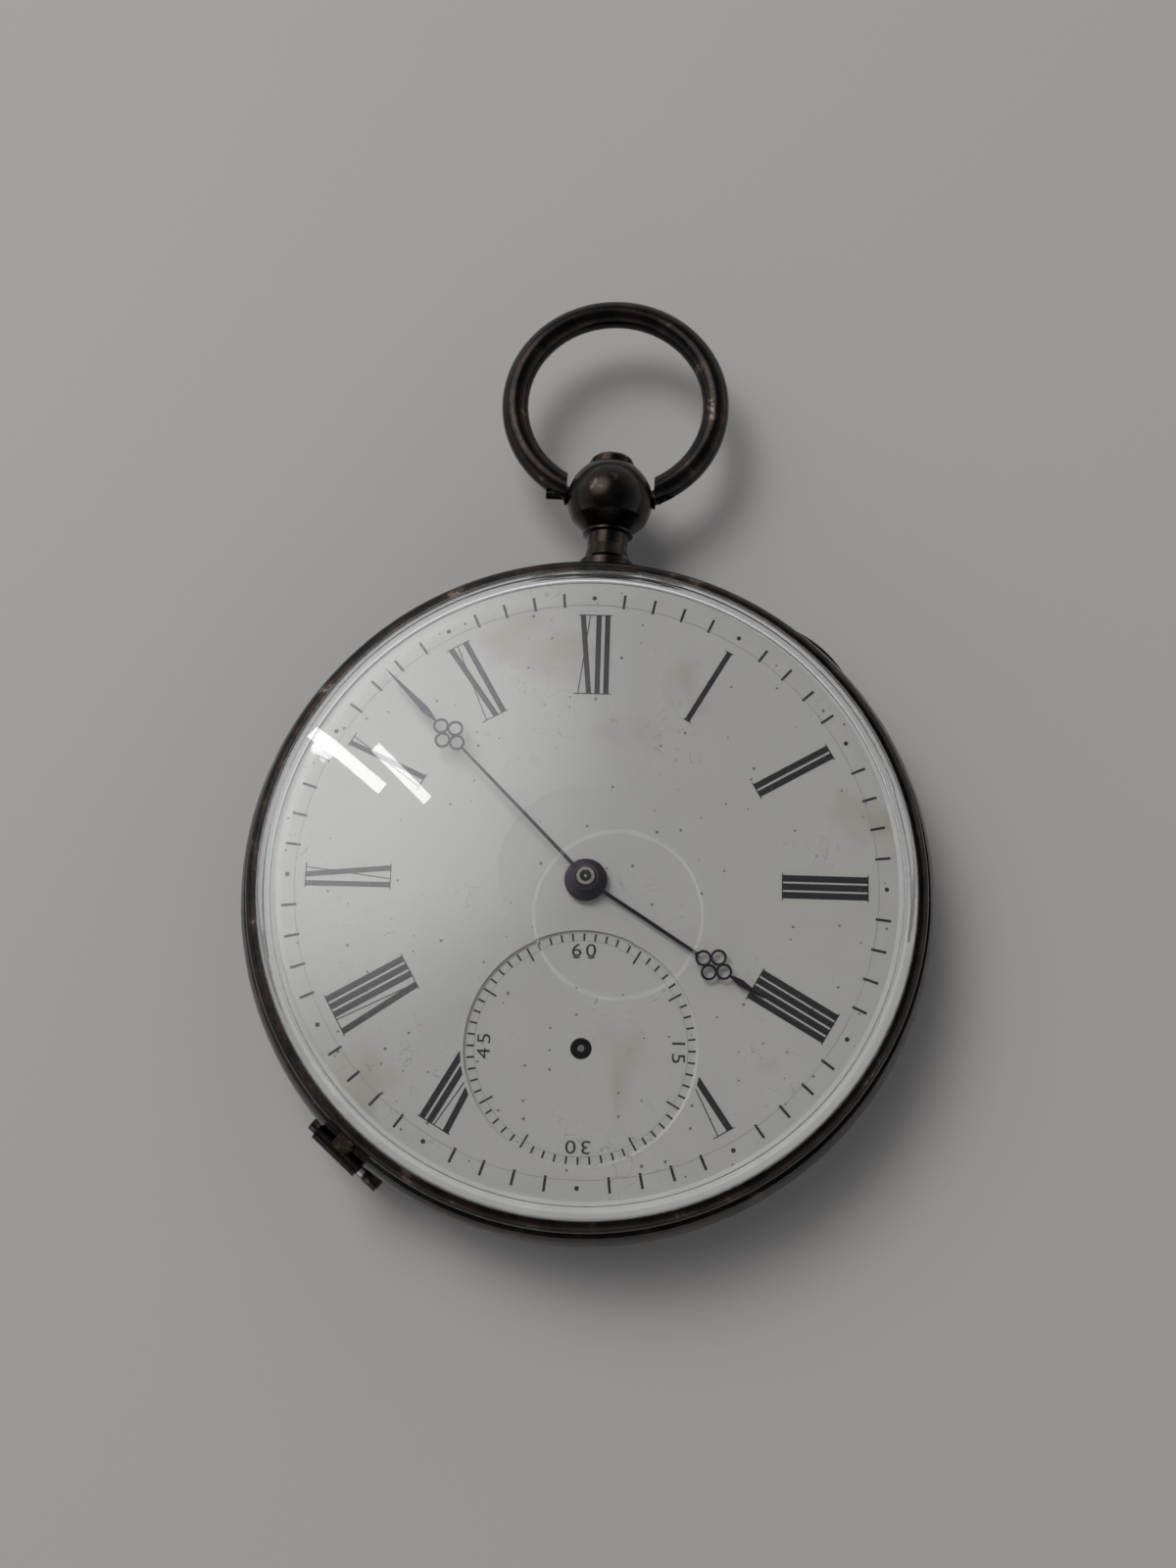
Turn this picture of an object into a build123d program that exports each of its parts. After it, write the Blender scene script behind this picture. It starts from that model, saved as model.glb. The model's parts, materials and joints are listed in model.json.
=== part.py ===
"""A key-wound open-face pocket watch with a small seconds dial, lying face up on its back.

Millimetres. The origin is the middle of the flat of the back cover. +Z points out of the dial, and
+Y points from the middle of the case to the pendant. Clock angles are in degrees clockwise from +Y,
seen from the front. The movement and its dial sit in the case turned by MOVEMENT_TURN.
"""

from build123d import *
import os
from math import atan2, cos, degrees, hypot, pi, radians, sin, sqrt

# ---- case ----------------------------------------------------------------------------------------
CASE_R = 23.0            # band, at its widest
BAND_WALL = 1.95         # from the widest line in to the bore
BAND_SHOULDER = 0.5      # how much the band falls away to its upper and lower edges
BAND_H = 3.8             # between the bezel's line and the back's line
SNAP_RING_T = 0.5        # rings that the bezel and the back snap over
SNAP_RING_H = 0.6        # the bezel's
BACK_RING_H = 0.4        # the back's
SEAM = 0.03              # fine line between the band and its covers
LEDGE_W = 0.9            # ledge that the movement plate sits on
LEDGE_T = 0.6
BEZEL_R = 22.2
BEZEL_OPENING_R = 21.44
BEZEL_H = 1.6
BEZEL_GROOVE = 0.32      # depth of the groove that holds the crystal's edge
SNAP_FIT = 0.05          # between snapped rims
CRYSTAL_T = 1.1
CRYSTAL_RISE = 3.9       # from the bezel's groove to the top of the dome
CRYSTAL_FLAT_R = 5.5     # polished flat on the top of the glass
CRYSTAL_EDGE_T = 0.3
CRYSTAL_SIDE_H = 1.6     # steep side of the glass
CRYSTAL_SIDE_IN = 0.75
BACK_T = 0.45
BACK_FLAT_R = 17.5
BACK_GAP = 0.3           # between the back and the cuvette
CUVETTE_T = 0.35
CUVETTE_FLANGE = 0.4     # rim that rests under the band's ring
CUVETTE_RIM_H = 0.9
LIP_ANGLE = 39.4         # clock angle of the lifting lip; the hinges are opposite
LIP_OUT = 1.0
LIP_HALF_ANGLE = 14.5
LIP_T = 0.45
HINGE_R = 0.55           # knuckle radius
HINGE_PIN_R = 0.25
HINGE_OUT = 0.2          # pin axis outside the band
KNUCKLE = 1.15           # length of one knuckle
KNUCKLE_GAP = 0.06

# ---- pendant and bow -----------------------------------------------------------------------------
NECK_R = 1.45
COLLAR_R = 1.9
COLLAR_H = 0.5
NECK_TOP = 2.2           # from the band to the bead above the neck
BEAD_R = 1.75
BALL_R = 3.0
BALL_OUT = 4.9           # ball centre, from the band
BUTTON_R = 1.47
BUTTON_H = 0.85
BUTTON_SINK = 0.45       # how far the ball's top is cut down to seat the button
BOW_R = 7.14             # centre line of the wire
BOW_WIRE_R = 0.935
BOW_OUT = 7.31           # centre of the ring, from the ball's centre
BOW_PIVOT_OUT = 0.3      # screw axis, from the ball's centre
BOW_SCREW_R = 0.35
BOW_SIDE_GAP = 0.06
BOW_SCREW_TAIL = 1.5     # how far the screw shows outside the ball

# ---- movement, from the back to the dial ---------------------------------------------------------
MOVEMENT_TURN = 1.6      # counter-clockwise, seen from the front
COCK_SPACE = 0.6         # between the cuvette and the bridges
BRIDGE_T = 1.2
TRAIN_H = 2.1            # between the bridges and the plate
PLATE_T = 1.6
DIAL_GAP = 0.6
DIAL_T = 0.8
DIAL_EDGE_GAP = 0.06     # between the dial's edge and the band
PLATE_FIT = 0.05
SMALL_DIAL_R = 7.43      # recessed seconds dial
SMALL_DIAL_OUT = 10.67   # its centre, below the middle of the dial
SMALL_DIAL_SUNK = 0.25
SMALL_DIAL_HOLE_R = 0.68
RUN_FIT = 0.02           # round a pivot
TURN_FIT = 0.05          # round an arbor that turns in a plain bore
PIVOT_R = 0.14
JEWEL_R = 0.6
JEWEL_T = 0.4
SCREW_R = 0.35
SCREW_HEAD_R = 0.75
SCREW_HEAD_H = 0.4

# ---- wheels: teeth and modules -------------------------------------------------------------------
BARREL_TEETH, CENTRE_LEAVES, BARREL_MODULE = 80, 10, 0.22
CENTRE_TEETH, THIRD_LEAVES, CENTRE_MODULE = 64, 8, 0.20
THIRD_TEETH, FOURTH_LEAVES, THIRD_MODULE = 60, 8, 0.18
FOURTH_TEETH, ESCAPE_LEAVES, FOURTH_MODULE = 60, 6, 0.16
ESCAPE_TEETH, ESCAPE_R = 15, 3.0
CANNON_LEAVES, MINUTE_TEETH, CANNON_MODULE = 12, 36, 0.18
MINUTE_LEAVES, HOUR_TEETH = 10, 40
RATCHET_TEETH, RATCHET_R, RATCHET_DEPTH = 24, 3.4, 0.35
WHEEL_ADDENDUM, WHEEL_DEDENDUM = 1.05, 1.35
LEAF_ADDENDUM, LEAF_DEDENDUM = 0.6, 1.45
TOOTH_SHARE, LEAF_SHARE = 0.44, 0.34     # of the pitch that a tooth or a leaf fills
RIM_W = 0.55
ARM_W = 0.5
BALANCE_R = 7.0
BALANCE_RIM_W = 0.65
CYLINDER_R = 0.5
CYLINDER_WALL = 0.15
BARREL_WALL = 0.35
BARREL_FLOOR = 0.3
BARREL_HUB_R = 2.2
BARREL_ANGLE = 20.0      # clock angles, from the middle of the movement
MINUTE_WHEEL_ANGLE = 70.0
WINDING_SQUARE = 1.5
SETTING_SQUARE = 1.2

# ---- hands ---------------------------------------------------------------------------------------
HOUR_ANGLE = 122.5
MINUTE_ANGLE = 315.2
HOUR_LENGTH = 13.6
MINUTE_LENGTH = 19.34
HAND_T = 0.13
HOUR_CLEAR = 0.4         # from the dial to the hour hand
MINUTE_CLEAR = 1.25      # from the dial to the minute hand
BOSS_R = 1.4
BUSH_R = 0.54

# ---- heights and radii that follow ---------------------------------------------------------------
Z_CUVETTE = BACK_T + BACK_GAP
Z_BRIDGE = Z_CUVETTE + CUVETTE_T + COCK_SPACE
Z_TRAIN = Z_BRIDGE + BRIDGE_T
Z_PLATE = Z_TRAIN + TRAIN_H
Z_UNDER_DIAL = Z_PLATE + PLATE_T
Z_DIAL = Z_UNDER_DIAL + DIAL_GAP
Z_FACE = Z_DIAL + DIAL_T
Z_BAND_TOP = Z_UNDER_DIAL + 0.4
Z_BAND_LOW = Z_BAND_TOP - BAND_H
Z_AXIS = (Z_BAND_TOP + Z_BAND_LOW) / 2
BORE_R = CASE_R - BAND_WALL
BAND_EDGE_R = CASE_R - BAND_SHOULDER
SNAP_R = BORE_R + SNAP_RING_T
PLATE_R = BORE_R - PLATE_FIT
LEDGE_R = BORE_R - LEDGE_W
DIAL_R = BORE_R - DIAL_EDGE_GAP
HINGE_AT = CASE_R + HINGE_OUT
Z_BEZEL_HINGE = Z_BAND_TOP
Z_BACK_HINGE = Z_BAND_LOW
HINGE_ANGLE = LIP_ANGLE + 180
BALL_Y = CASE_R + BALL_OUT
BALL_CUT = BALL_R - BUTTON_SINK          # seat of the button, from the ball's centre
BOW_Y = BALL_Y + BOW_OUT
BOW_PIVOT_Y = BALL_Y + BOW_PIVOT_OUT
Z_GROOVE = Z_BAND_TOP + 1.05             # underside of the crystal's edge
CRYSTAL_R = BEZEL_OPENING_R + BEZEL_GROOVE
Z_CRYSTAL_TOP = Z_GROOVE + CRYSTAL_RISE

# arbor places in the movement's own frame, where its dial's 12 is on +Y
MIDDLE = (0, 0)
FOURTH_AT = (0, -SMALL_DIAL_OUT)
BALANCE_ANGLE, BALANCE_OUT = 225.4, 11.53
ESCAPE_GAP = 0.05                        # the escape teeth stop this short of the cylinder
CENTRE_JOURNAL_R = 0.75
BARREL_JOURNAL_R = 0.8
ARBOR_R = 0.4
ESCAPE_ARBOR_R = 0.3
SETTING_R = 0.24                         # arbor through the hollow centre pinion
SECONDS_PIVOT_R = 0.22
SECONDS_PIVOT_SUNK = 0.15                # how far it ends below the dial's face
RECESS_H = 0.6                           # sunk in the plate for the barrel
MOTION_RECESS_H = 0.5                    # sunk in the plate's other side for the motion work
RECESS_ROOM = 0.3
WHEEL_T = 0.25
LEAF_H = 0.5
KEY_HOLE_R = 1.8
HOUR_PIPE_R = 1.1
CANNON_R = 0.72
BRIDGE_FOOT_R = 2.2
BARREL_FEET = ((-9.5, 12.5), (14.5, 3.0))
CENTRE_FOOT = (-13.5, 4.0)
THIRD_FOOT = (12.5, -7.5)
FOURTH_FOOT = (4.5, -16.0)
ESCAPE_FOOT = (-6.8, -15.6)
COCK_FOOT = (-16.8, -3.6)
SMALL_FOOT_R = 1.6
COCK_T = 0.55
ESCAPE_COCK_T = 0.4
DIAL_FOOT_ANGLES, DIAL_FOOT_OUT, DIAL_FOOT_R = (90, 210, 330), 18.0, 0.4
CASE_SCREW_ANGLES, CASE_SCREW_HEAD_R = (75, 280), 1.0
LOOP_R, LOOP_W, LOOP_STEP, LOOP_SIDE = 0.52, 0.15, 0.775, 0.563

BOTTOM = (Align.CENTER, Align.CENTER, Align.MIN)
FAR = 60                                 # longer than anything that is cut


# ---- shared shapes -------------------------------------------------------------------------------
def clock(angle, radius):
    """The point at a clock angle and a radius."""
    return (radius * sin(radians(angle)), radius * cos(radians(angle)))


def disc(radius, low, high, at=(0, 0)):
    return Pos(at[0], at[1], low) * Cylinder(radius, high - low, align=BOTTOM)


def tube(outer, inner, low, high, at=(0, 0)):
    return disc(outer, low, high, at) - disc(inner, low - 1, high + 1, at)


def block(width, depth, low, high, at=(0, 0)):
    return Pos(at[0], at[1], low) * Box(width, depth, high - low, align=BOTTOM)


def turned(*outline):
    """A solid of revolution about Z, from an outline of (radius, height) points."""
    edge = Polyline(*[(radius, 0, height) for radius, height in outline], close=True)
    return revolve(make_face(edge), Axis.Z)


def turned_arcs(*edges):
    """A solid of revolution about Z, from edges in the XZ plane that close."""
    return revolve(make_face(list(edges)), Axis.Z)


def line(start, end):
    return Edge.make_line((start[0], 0, start[1]), (end[0], 0, end[1]))


def arc(start, middle, end):
    return Edge.make_three_point_arc(*[(p[0], 0, p[1]) for p in (start, middle, end)])


def polar(radius, angle, height=0.0):
    return (radius * cos(angle), radius * sin(angle), height)


def toothed(teeth, module, low, high, addendum, dedendum, share):
    """A plain toothed disc about Z: radial flanks up to the pitch circle, then a pointed arch."""
    pitch = teeth * module / 2
    root, tip = pitch - dedendum * module, pitch + addendum * module
    arch = pitch + 0.62 * addendum * module
    half = share * pi / teeth
    edges = []
    for tooth in range(teeth):
        mid = 2 * pi * tooth / teeth
        foot, knee = polar(root, mid - half, low), polar(pitch, mid - half, low)
        top = polar(tip, mid, low)
        far_knee, far_foot = polar(pitch, mid + half, low), polar(root, mid + half, low)
        next_foot = polar(root, mid + 2 * pi / teeth - half, low)
        edges += [
            Edge.make_line(foot, knee),
            Edge.make_three_point_arc(knee, polar(arch, mid - 0.6 * half, low), top),
            Edge.make_three_point_arc(top, polar(arch, mid + 0.6 * half, low), far_knee),
            Edge.make_line(far_knee, far_foot),
            Edge.make_line(far_foot, next_foot),
        ]
    return extrude(make_face(edges), high - low, dir=(0, 0, 1))


def wheel(teeth, module, low, high, bore, arms=4, hub=1.3):
    """A crossed-out brass wheel about Z."""
    inside = teeth * module / 2 - WHEEL_DEDENDUM * module - RIM_W
    rim = toothed(teeth, module, low, high, WHEEL_ADDENDUM, WHEEL_DEDENDUM, TOOTH_SHARE)
    rim -= disc(inside, low - 1, high + 1)
    return rim + crossing(inside, low, high, arms, hub) - disc(bore, low - 1, high + 1)


def crossing(inside, low, high, arms, hub):
    """The hub and arms of a wheel, up to just inside its rim."""
    spider = disc(hub, low, high)
    for arm in range(arms):
        reach = inside + RIM_W / 3
        spoke = Pos(reach / 2, 0, low) * Box(reach, ARM_W, high - low, align=BOTTOM)
        spider += Rot(0, 0, 360 * arm / arms) * spoke
    return spider


def leaves(count, module, low, high):
    """A pinion's leaves about Z."""
    return toothed(count, module, low, high, LEAF_ADDENDUM, LEAF_DEDENDUM, LEAF_SHARE)


def spiral(first, pitch, turns, thickness, low, high):
    """A flat coiled strip about Z, of half circles that grow by half the pitch each."""
    inner, outer = [], []
    for step in range(int(2 * turns)):
        radius, side = first + step * pitch / 2, -(pitch / 4) * (-1) ** step
        for edges, r in ((inner, radius - thickness / 2), (outer, radius + thickness / 2)):
            start, end = (0, pi) if step % 2 == 0 else (pi, 2 * pi)
            points = [
                (side + r * cos(a), r * sin(a), low) for a in (start, (start + end) / 2, end)
            ]
            edges.append(Edge.make_three_point_arc(*points))
    caps = [Edge.make_line(inner[0] @ 0, outer[0] @ 0), Edge.make_line(inner[-1] @ 1, outer[-1] @ 1)]
    return extrude(make_face(inner + outer + caps), high - low, dir=(0, 0, 1))


def plan(low, high, *circles):
    """A plate whose outline is drawn tight round circles of (x, y, radius)."""
    rims = [Edge.make_circle(r, Plane((x, y, low))) for x, y, r in circles]
    return extrude(make_face(make_hull(rims)), high - low, dir=(0, 0, 1))


def along_x(radius, start, end, y, z):
    """A round bar along X."""
    return Pos(start, y, z) * Rot(0, 90, 0) * Cylinder(radius, end - start, align=BOTTOM)


def third_corner(a, from_a, b, from_b, side):
    """The point at given distances from two points; side is 1 or -1, left or right of a towards b."""
    span = hypot(b[0] - a[0], b[1] - a[1])
    along = (from_a**2 - from_b**2 + span**2) / (2 * span)
    off = side * sqrt(from_a**2 - along**2)
    ux, uy = (b[0] - a[0]) / span, (b[1] - a[1]) / span
    return (a[0] + along * ux - off * uy, a[1] + along * uy + off * ux)


def mesh_turn(at, teeth, turn, other_at, other_teeth):
    """How far the other wheel is turned, in degrees, for a gap of it to face a tooth of this one."""
    facing = degrees(atan2(other_at[1] - at[1], other_at[0] - at[0]))
    return facing + 180 + 180 / other_teeth - (turn - facing) * teeth / other_teeth


BARREL_AT = clock(BARREL_ANGLE, BARREL_MODULE * (BARREL_TEETH + CENTRE_LEAVES) / 2)
THIRD_AT = third_corner(
    MIDDLE, CENTRE_MODULE * (CENTRE_TEETH + THIRD_LEAVES) / 2,
    FOURTH_AT, THIRD_MODULE * (THIRD_TEETH + FOURTH_LEAVES) / 2, 1,
)
BALANCE_AT = clock(BALANCE_ANGLE, BALANCE_OUT)
ESCAPE_AT = third_corner(
    FOURTH_AT, FOURTH_MODULE * (FOURTH_TEETH + ESCAPE_LEAVES) / 2,
    BALANCE_AT, ESCAPE_R + CYLINDER_R + ESCAPE_GAP, 1,
)
MINUTE_OUT = CANNON_MODULE * (CANNON_LEAVES + MINUTE_TEETH) / 2
MINUTE_WHEEL_AT = clock(MINUTE_WHEEL_ANGLE, MINUTE_OUT)
HOUR_MODULE = 2 * MINUTE_OUT / (MINUTE_LEAVES + HOUR_TEETH)


def in_movement(shape):
    """Turns a shape made in the movement's frame into the case's."""
    return Rot(0, 0, MOVEMENT_TURN) * shape


# ---- case ----------------------------------------------------------------------------------------
def band_outline(inner_r):
    """The band's section out from a radius, without its rings and ledge."""
    low, high = (BAND_EDGE_R, Z_BAND_LOW), (BAND_EDGE_R, Z_BAND_TOP)
    return turned_arcs(
        arc(low, (CASE_R, Z_AXIS), high),
        line(high, (inner_r, Z_BAND_TOP)),
        line((inner_r, Z_BAND_TOP), (inner_r, Z_BAND_LOW)),
        line((inner_r, Z_BAND_LOW), low),
    )


def at_hinge(shape, height):
    """Moves a shape made about the X axis to the hinge side of the case."""
    return Rot(0, 0, -HINGE_ANGLE) * Pos(0, HINGE_AT, height) * shape


def hinge_span(slot, count, room=0.0):
    """The ends along the hinge of one of its knuckles, with room at each side."""
    middle = (slot - (count - 1) / 2) * (KNUCKLE + KNUCKLE_GAP)
    return middle - KNUCKLE / 2 - room, middle + KNUCKLE / 2 + room


def knuckle(slot, count, inward, low, high):
    """One knuckle about the pin, with its arm towards the case between two heights."""
    start, end = hinge_span(slot, count)
    arm = Pos((start + end) / 2, -inward / 2, low) * Box(end - start, inward, high - low, align=BOTTOM)
    return along_x(HINGE_R, start, end, 0, 0) + arm - along_x(HINGE_PIN_R, start - 1, end + 1, 0, 0)


def case_band():
    band = band_outline(BORE_R)
    band += tube(SNAP_R, BORE_R, Z_BAND_TOP - 0.1, Z_BAND_TOP + SNAP_RING_H)
    band += tube(SNAP_R, BORE_R, Z_BAND_LOW - BACK_RING_H, Z_BAND_LOW + 0.1)
    band += tube(BORE_R + 0.1, LEDGE_R, Z_PLATE - LEDGE_T, Z_PLATE)
    reach = HINGE_AT - SNAP_R - SNAP_FIT
    for height, count, mine, others in (
        (Z_BEZEL_HINGE, 3, (0, 2), (1,)),
        (Z_BACK_HINGE, 5, (0, 4), (1, 2, 3)),
    ):
        side = -1 if height == Z_BEZEL_HINGE else 1
        low, high = sorted((0, side * HINGE_R))
        for start, end in (hinge_span(slot, count, KNUCKLE_GAP / 2) for slot in others):
            band -= at_hinge(along_x(HINGE_R + TURN_FIT, start, end, 0, 0), height)
        for slot in mine:
            band += at_hinge(knuckle(slot, count, reach, low, high), height)
    return band


def hinge_pin(count, height):
    half = (count * (KNUCKLE + KNUCKLE_GAP)) / 2
    return at_hinge(along_x(HINGE_PIN_R - RUN_FIT, -half, half, 0, 0), height)


def bezel():
    top, groove_r = Z_BAND_TOP + BEZEL_H, CRYSTAL_R
    low = Z_BAND_TOP + SEAM
    inner, opening = SNAP_R + SNAP_FIT, BEZEL_OPENING_R
    flange = Z_BAND_TOP + SNAP_RING_H + 0.15
    groove_top = Z_GROOVE + CRYSTAL_EDGE_T
    shoulder, crest = (BEZEL_R, top - 0.75), (BEZEL_R - 0.45, top)
    corners = [crest, (opening + 0.06, top), (opening, groove_top), (groove_r, groove_top)]
    corners += [(groove_r, Z_GROOVE), (opening, Z_GROOVE), (opening, flange), (inner, flange)]
    corners += [(inner, low), (BEZEL_R, low), shoulder]
    edges = [arc(shoulder, (BEZEL_R - 0.12, top - 0.25), crest)]
    edges += [line(a, b) for a, b in zip(corners, corners[1:])]
    ring = turned_arcs(*edges)
    reach = HINGE_AT - SNAP_R - SNAP_FIT
    for slot in (0, 2):
        start, end = hinge_span(slot, 3, KNUCKLE_GAP / 2)
        ring -= at_hinge(along_x(HINGE_R + TURN_FIT, start, end, 0, 0), Z_BEZEL_HINGE)
    return ring + at_hinge(knuckle(1, 3, reach, SEAM, HINGE_R), Z_BEZEL_HINGE)


def dome_mid(outer, inner, radius):
    """The height at a radius of the ball through two points (radius, height), centred on the axis."""
    (r1, z1), (r2, z2) = outer, inner
    centre = (r1**2 - r2**2 + z1**2 - z2**2) / (2 * (z1 - z2))
    return centre + sqrt(r2**2 + (z2 - centre) ** 2 - radius**2)


def crystal():
    """A thick glass with steep sides and a flat polished on the top of its dome."""
    edge_r = CRYSTAL_R - RUN_FIT
    low, high = Z_GROOVE + RUN_FIT / 2, Z_GROOVE + CRYSTAL_EDGE_T - RUN_FIT / 2
    foot, flat = (BEZEL_OPENING_R - 0.06, high), (CRYSTAL_FLAT_R, Z_CRYSTAL_TOP)
    shoulder = (foot[0] - CRYSTAL_SIDE_IN, foot[1] + CRYSTAL_SIDE_H)
    side_mid = (foot[0] - 0.2 * CRYSTAL_SIDE_IN, foot[1] + 0.62 * CRYSTAL_SIDE_H)
    inner_foot, inner_top = (BEZEL_OPENING_R - 0.34, low + 0.15), (0, Z_CRYSTAL_TOP - CRYSTAL_T)
    inner_shoulder = (shoulder[0] - 0.7, shoulder[1] - 0.4)
    inner_side_mid = (
        0.55 * inner_foot[0] + 0.45 * inner_shoulder[0] + 0.12,
        0.55 * inner_foot[1] + 0.45 * inner_shoulder[1] + 0.16,
    )
    half_out, half_in = (shoulder[0] + flat[0]) / 2, inner_shoulder[0] / 2
    return turned_arcs(
        arc(foot, side_mid, shoulder),
        arc(shoulder, (half_out, dome_mid(shoulder, flat, half_out)), flat),
        line(flat, (0, Z_CRYSTAL_TOP)),
        line((0, Z_CRYSTAL_TOP), inner_top),
        arc(inner_top, (half_in, dome_mid(inner_shoulder, inner_top, half_in)), inner_shoulder),
        arc(inner_shoulder, inner_side_mid, inner_foot),
        line(inner_foot, (inner_foot[0], low)),
        line((inner_foot[0], low), (edge_r, low)),
        line((edge_r, low), (edge_r, high)),
        line((edge_r, high), foot),
    )


BACK_EDGE_Z = Z_BAND_LOW - SEAM
BACK_CURVE_R = ((BAND_EDGE_R - BACK_FLAT_R) ** 2 + BACK_EDGE_Z**2) / (2 * BACK_EDGE_Z)


def bowl_height(depth, radius):
    """The height at a radius of a surface that lies a depth inside the back's outer surface."""
    reach = max(0.0, radius - BACK_FLAT_R)
    return BACK_CURVE_R - sqrt((BACK_CURVE_R - depth) ** 2 - reach**2)


def bowl_edges(depth, rim_r):
    """The flat middle and the curved side of such a surface, out to a radius."""
    middle_r = (BACK_FLAT_R + rim_r) / 2
    start, end = (BACK_FLAT_R, depth), (rim_r, bowl_height(depth, rim_r))
    return line((0, depth), start), arc(start, (middle_r, bowl_height(depth, middle_r)), end)


def back_cover():
    rim = SNAP_R + SNAP_FIT
    inner_top = (rim, BACK_EDGE_Z)
    cover = turned_arcs(
        *bowl_edges(0, BAND_EDGE_R),
        line((BAND_EDGE_R, BACK_EDGE_Z), inner_top),
        line(inner_top, (rim, bowl_height(BACK_T, rim))),
        *bowl_edges(BACK_T, rim),
        line((0, BACK_T), (0, 0)),
    )
    for slot in (1, 3):
        start, end = hinge_span(slot, 5, KNUCKLE_GAP)
        low = -BACK_RING_H - CUVETTE_T - 3 * TURN_FIT
        notch = Pos((start + end) / 2, 0, low) * Box(end - start, 6, 3, align=BOTTOM)
        cover -= at_hinge(notch, Z_BACK_HINGE)
    for slot in (0, 4):
        start, end = hinge_span(slot, 5, KNUCKLE_GAP)
        cover -= at_hinge(along_x(HINGE_R + TURN_FIT, start, end, 0, 0), Z_BACK_HINGE)
    cover += at_hinge(knuckle(2, 5, HINGE_AT - rim, -HINGE_R, -SEAM), Z_BACK_HINGE)
    return cover + lip()


def lip():
    """The crescent that a thumbnail lifts the back by."""
    half = radians(LIP_HALF_ANGLE)
    tip, side = CASE_R + LIP_OUT, (BAND_EDGE_R * cos(half), BAND_EDGE_R * sin(half))
    radius = ((tip - side[0]) ** 2 + side[1] ** 2) / (2 * (tip - side[0]))
    low = BACK_EDGE_Z - LIP_T
    crescent = disc(radius, low, BACK_EDGE_Z, clock(LIP_ANGLE, tip - radius))
    return crescent - disc(SNAP_R + SNAP_FIT + 0.2, low - 1, BACK_EDGE_Z + 1)


def cuvette():
    """The inner cover, with holes for the key over the winding and the setting square."""
    outer_depth, inner_depth = Z_CUVETTE, Z_CUVETTE + CUVETTE_T
    rim_out = BORE_R - SNAP_FIT
    rim_in = rim_out - CUVETTE_T
    rim_top = bowl_height(outer_depth, rim_out) + CUVETTE_RIM_H
    cover = turned_arcs(
        *bowl_edges(outer_depth, rim_out),
        line((rim_out, bowl_height(outer_depth, rim_out)), (rim_out, rim_top)),
        line((rim_out, rim_top), (rim_in, rim_top)),
        line((rim_in, rim_top), (rim_in, bowl_height(inner_depth, rim_in))),
        *bowl_edges(inner_depth, rim_in),
        line((0, inner_depth), (0, outer_depth)),
    )
    flange_top = Z_BAND_LOW - BACK_RING_H - TURN_FIT
    flange_low = flange_top - CUVETTE_T
    cover += tube(rim_out + CUVETTE_FLANGE, rim_in + 0.1, flange_low, flange_top)
    inward = HINGE_AT - SNAP_R - 2 * SNAP_FIT
    for slot in (1, 3):
        start, end = hinge_span(slot, 5)
        low, high = flange_low - Z_BACK_HINGE, flange_top - Z_BACK_HINGE
        cover += at_hinge(knuckle(slot, 5, inward, low, -SEAM), Z_BACK_HINGE)
        depth = HINGE_AT - rim_in - 0.2
        arm = Pos((start + end) / 2, -depth / 2, low) * Box(end - start, depth, high - low, align=BOTTOM)
        cover += at_hinge(arm, Z_BACK_HINGE)
    for at in (MIDDLE, BARREL_AT):
        cover -= in_movement(disc(KEY_HOLE_R, 0, inner_depth + 1, at))
    return cover


def about_pendant(shape):
    """Moves a shape made about Z to the pendant's axis."""
    return Pos(0, 0, Z_AXIS) * Rot(-90, 0, 0) * shape


def pendant():
    """The neck, bead and ball, in one piece soldered to the band."""
    neck_foot, neck_top = CASE_R + COLLAR_H, CASE_R + NECK_TOP
    cone_y = BALL_Y - 0.5 * BALL_R
    cone_r, seat_r = sqrt(BALL_R**2 - (0.5 * BALL_R) ** 2), sqrt(BALL_R**2 - BALL_CUT**2)
    bead_top = neck_top + 0.28
    corners = [
        (0, CASE_R - 1), (COLLAR_R, CASE_R - 1), (COLLAR_R, CASE_R + 0.15), (NECK_R + 0.12, neck_foot),
        (NECK_R - 0.06, (neck_foot + neck_top) / 2), (NECK_R, neck_top), (BEAD_R, neck_top + 0.08),
        (BEAD_R, bead_top - 0.06), (BEAD_R - 0.1, bead_top), (cone_r, cone_y),
    ]
    seat = (seat_r, BALL_Y + BALL_CUT)
    edges = [line(a, b) for a, b in zip(corners, corners[1:])]
    edges += [arc(corners[-1], (BALL_R, BALL_Y), seat), line(seat, (0, seat[1]))]
    edges += [line((0, seat[1]), corners[0])]
    body = about_pendant(turned_arcs(*edges)) - band_outline(0)
    bore = BOW_SCREW_R + TURN_FIT
    return body - along_x(bore, -2 * BALL_R, 2 * BALL_R, BOW_PIVOT_Y, Z_AXIS)


def pendant_button():
    seat, top = BALL_Y + BALL_CUT, BALL_Y + BALL_CUT + BUTTON_H
    rim, shoulder, crown = (BUTTON_R, seat + 0.3), (BUTTON_R, top - 0.4), (BUTTON_R - 0.2, top - 0.2)
    return about_pendant(turned_arcs(
        line((0, seat), (BUTTON_R + 0.12, seat)),
        line((BUTTON_R + 0.12, seat), (BUTTON_R + 0.12, seat + 0.22)),
        line((BUTTON_R + 0.12, seat + 0.22), rim),
        line(rim, shoulder),
        line(shoulder, crown),
        arc(crown, (crown[0] / 2, dome_mid(crown, (0, top), crown[0] / 2)), (0, top)),
        line((0, top), (0, seat)),
    ))


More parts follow.
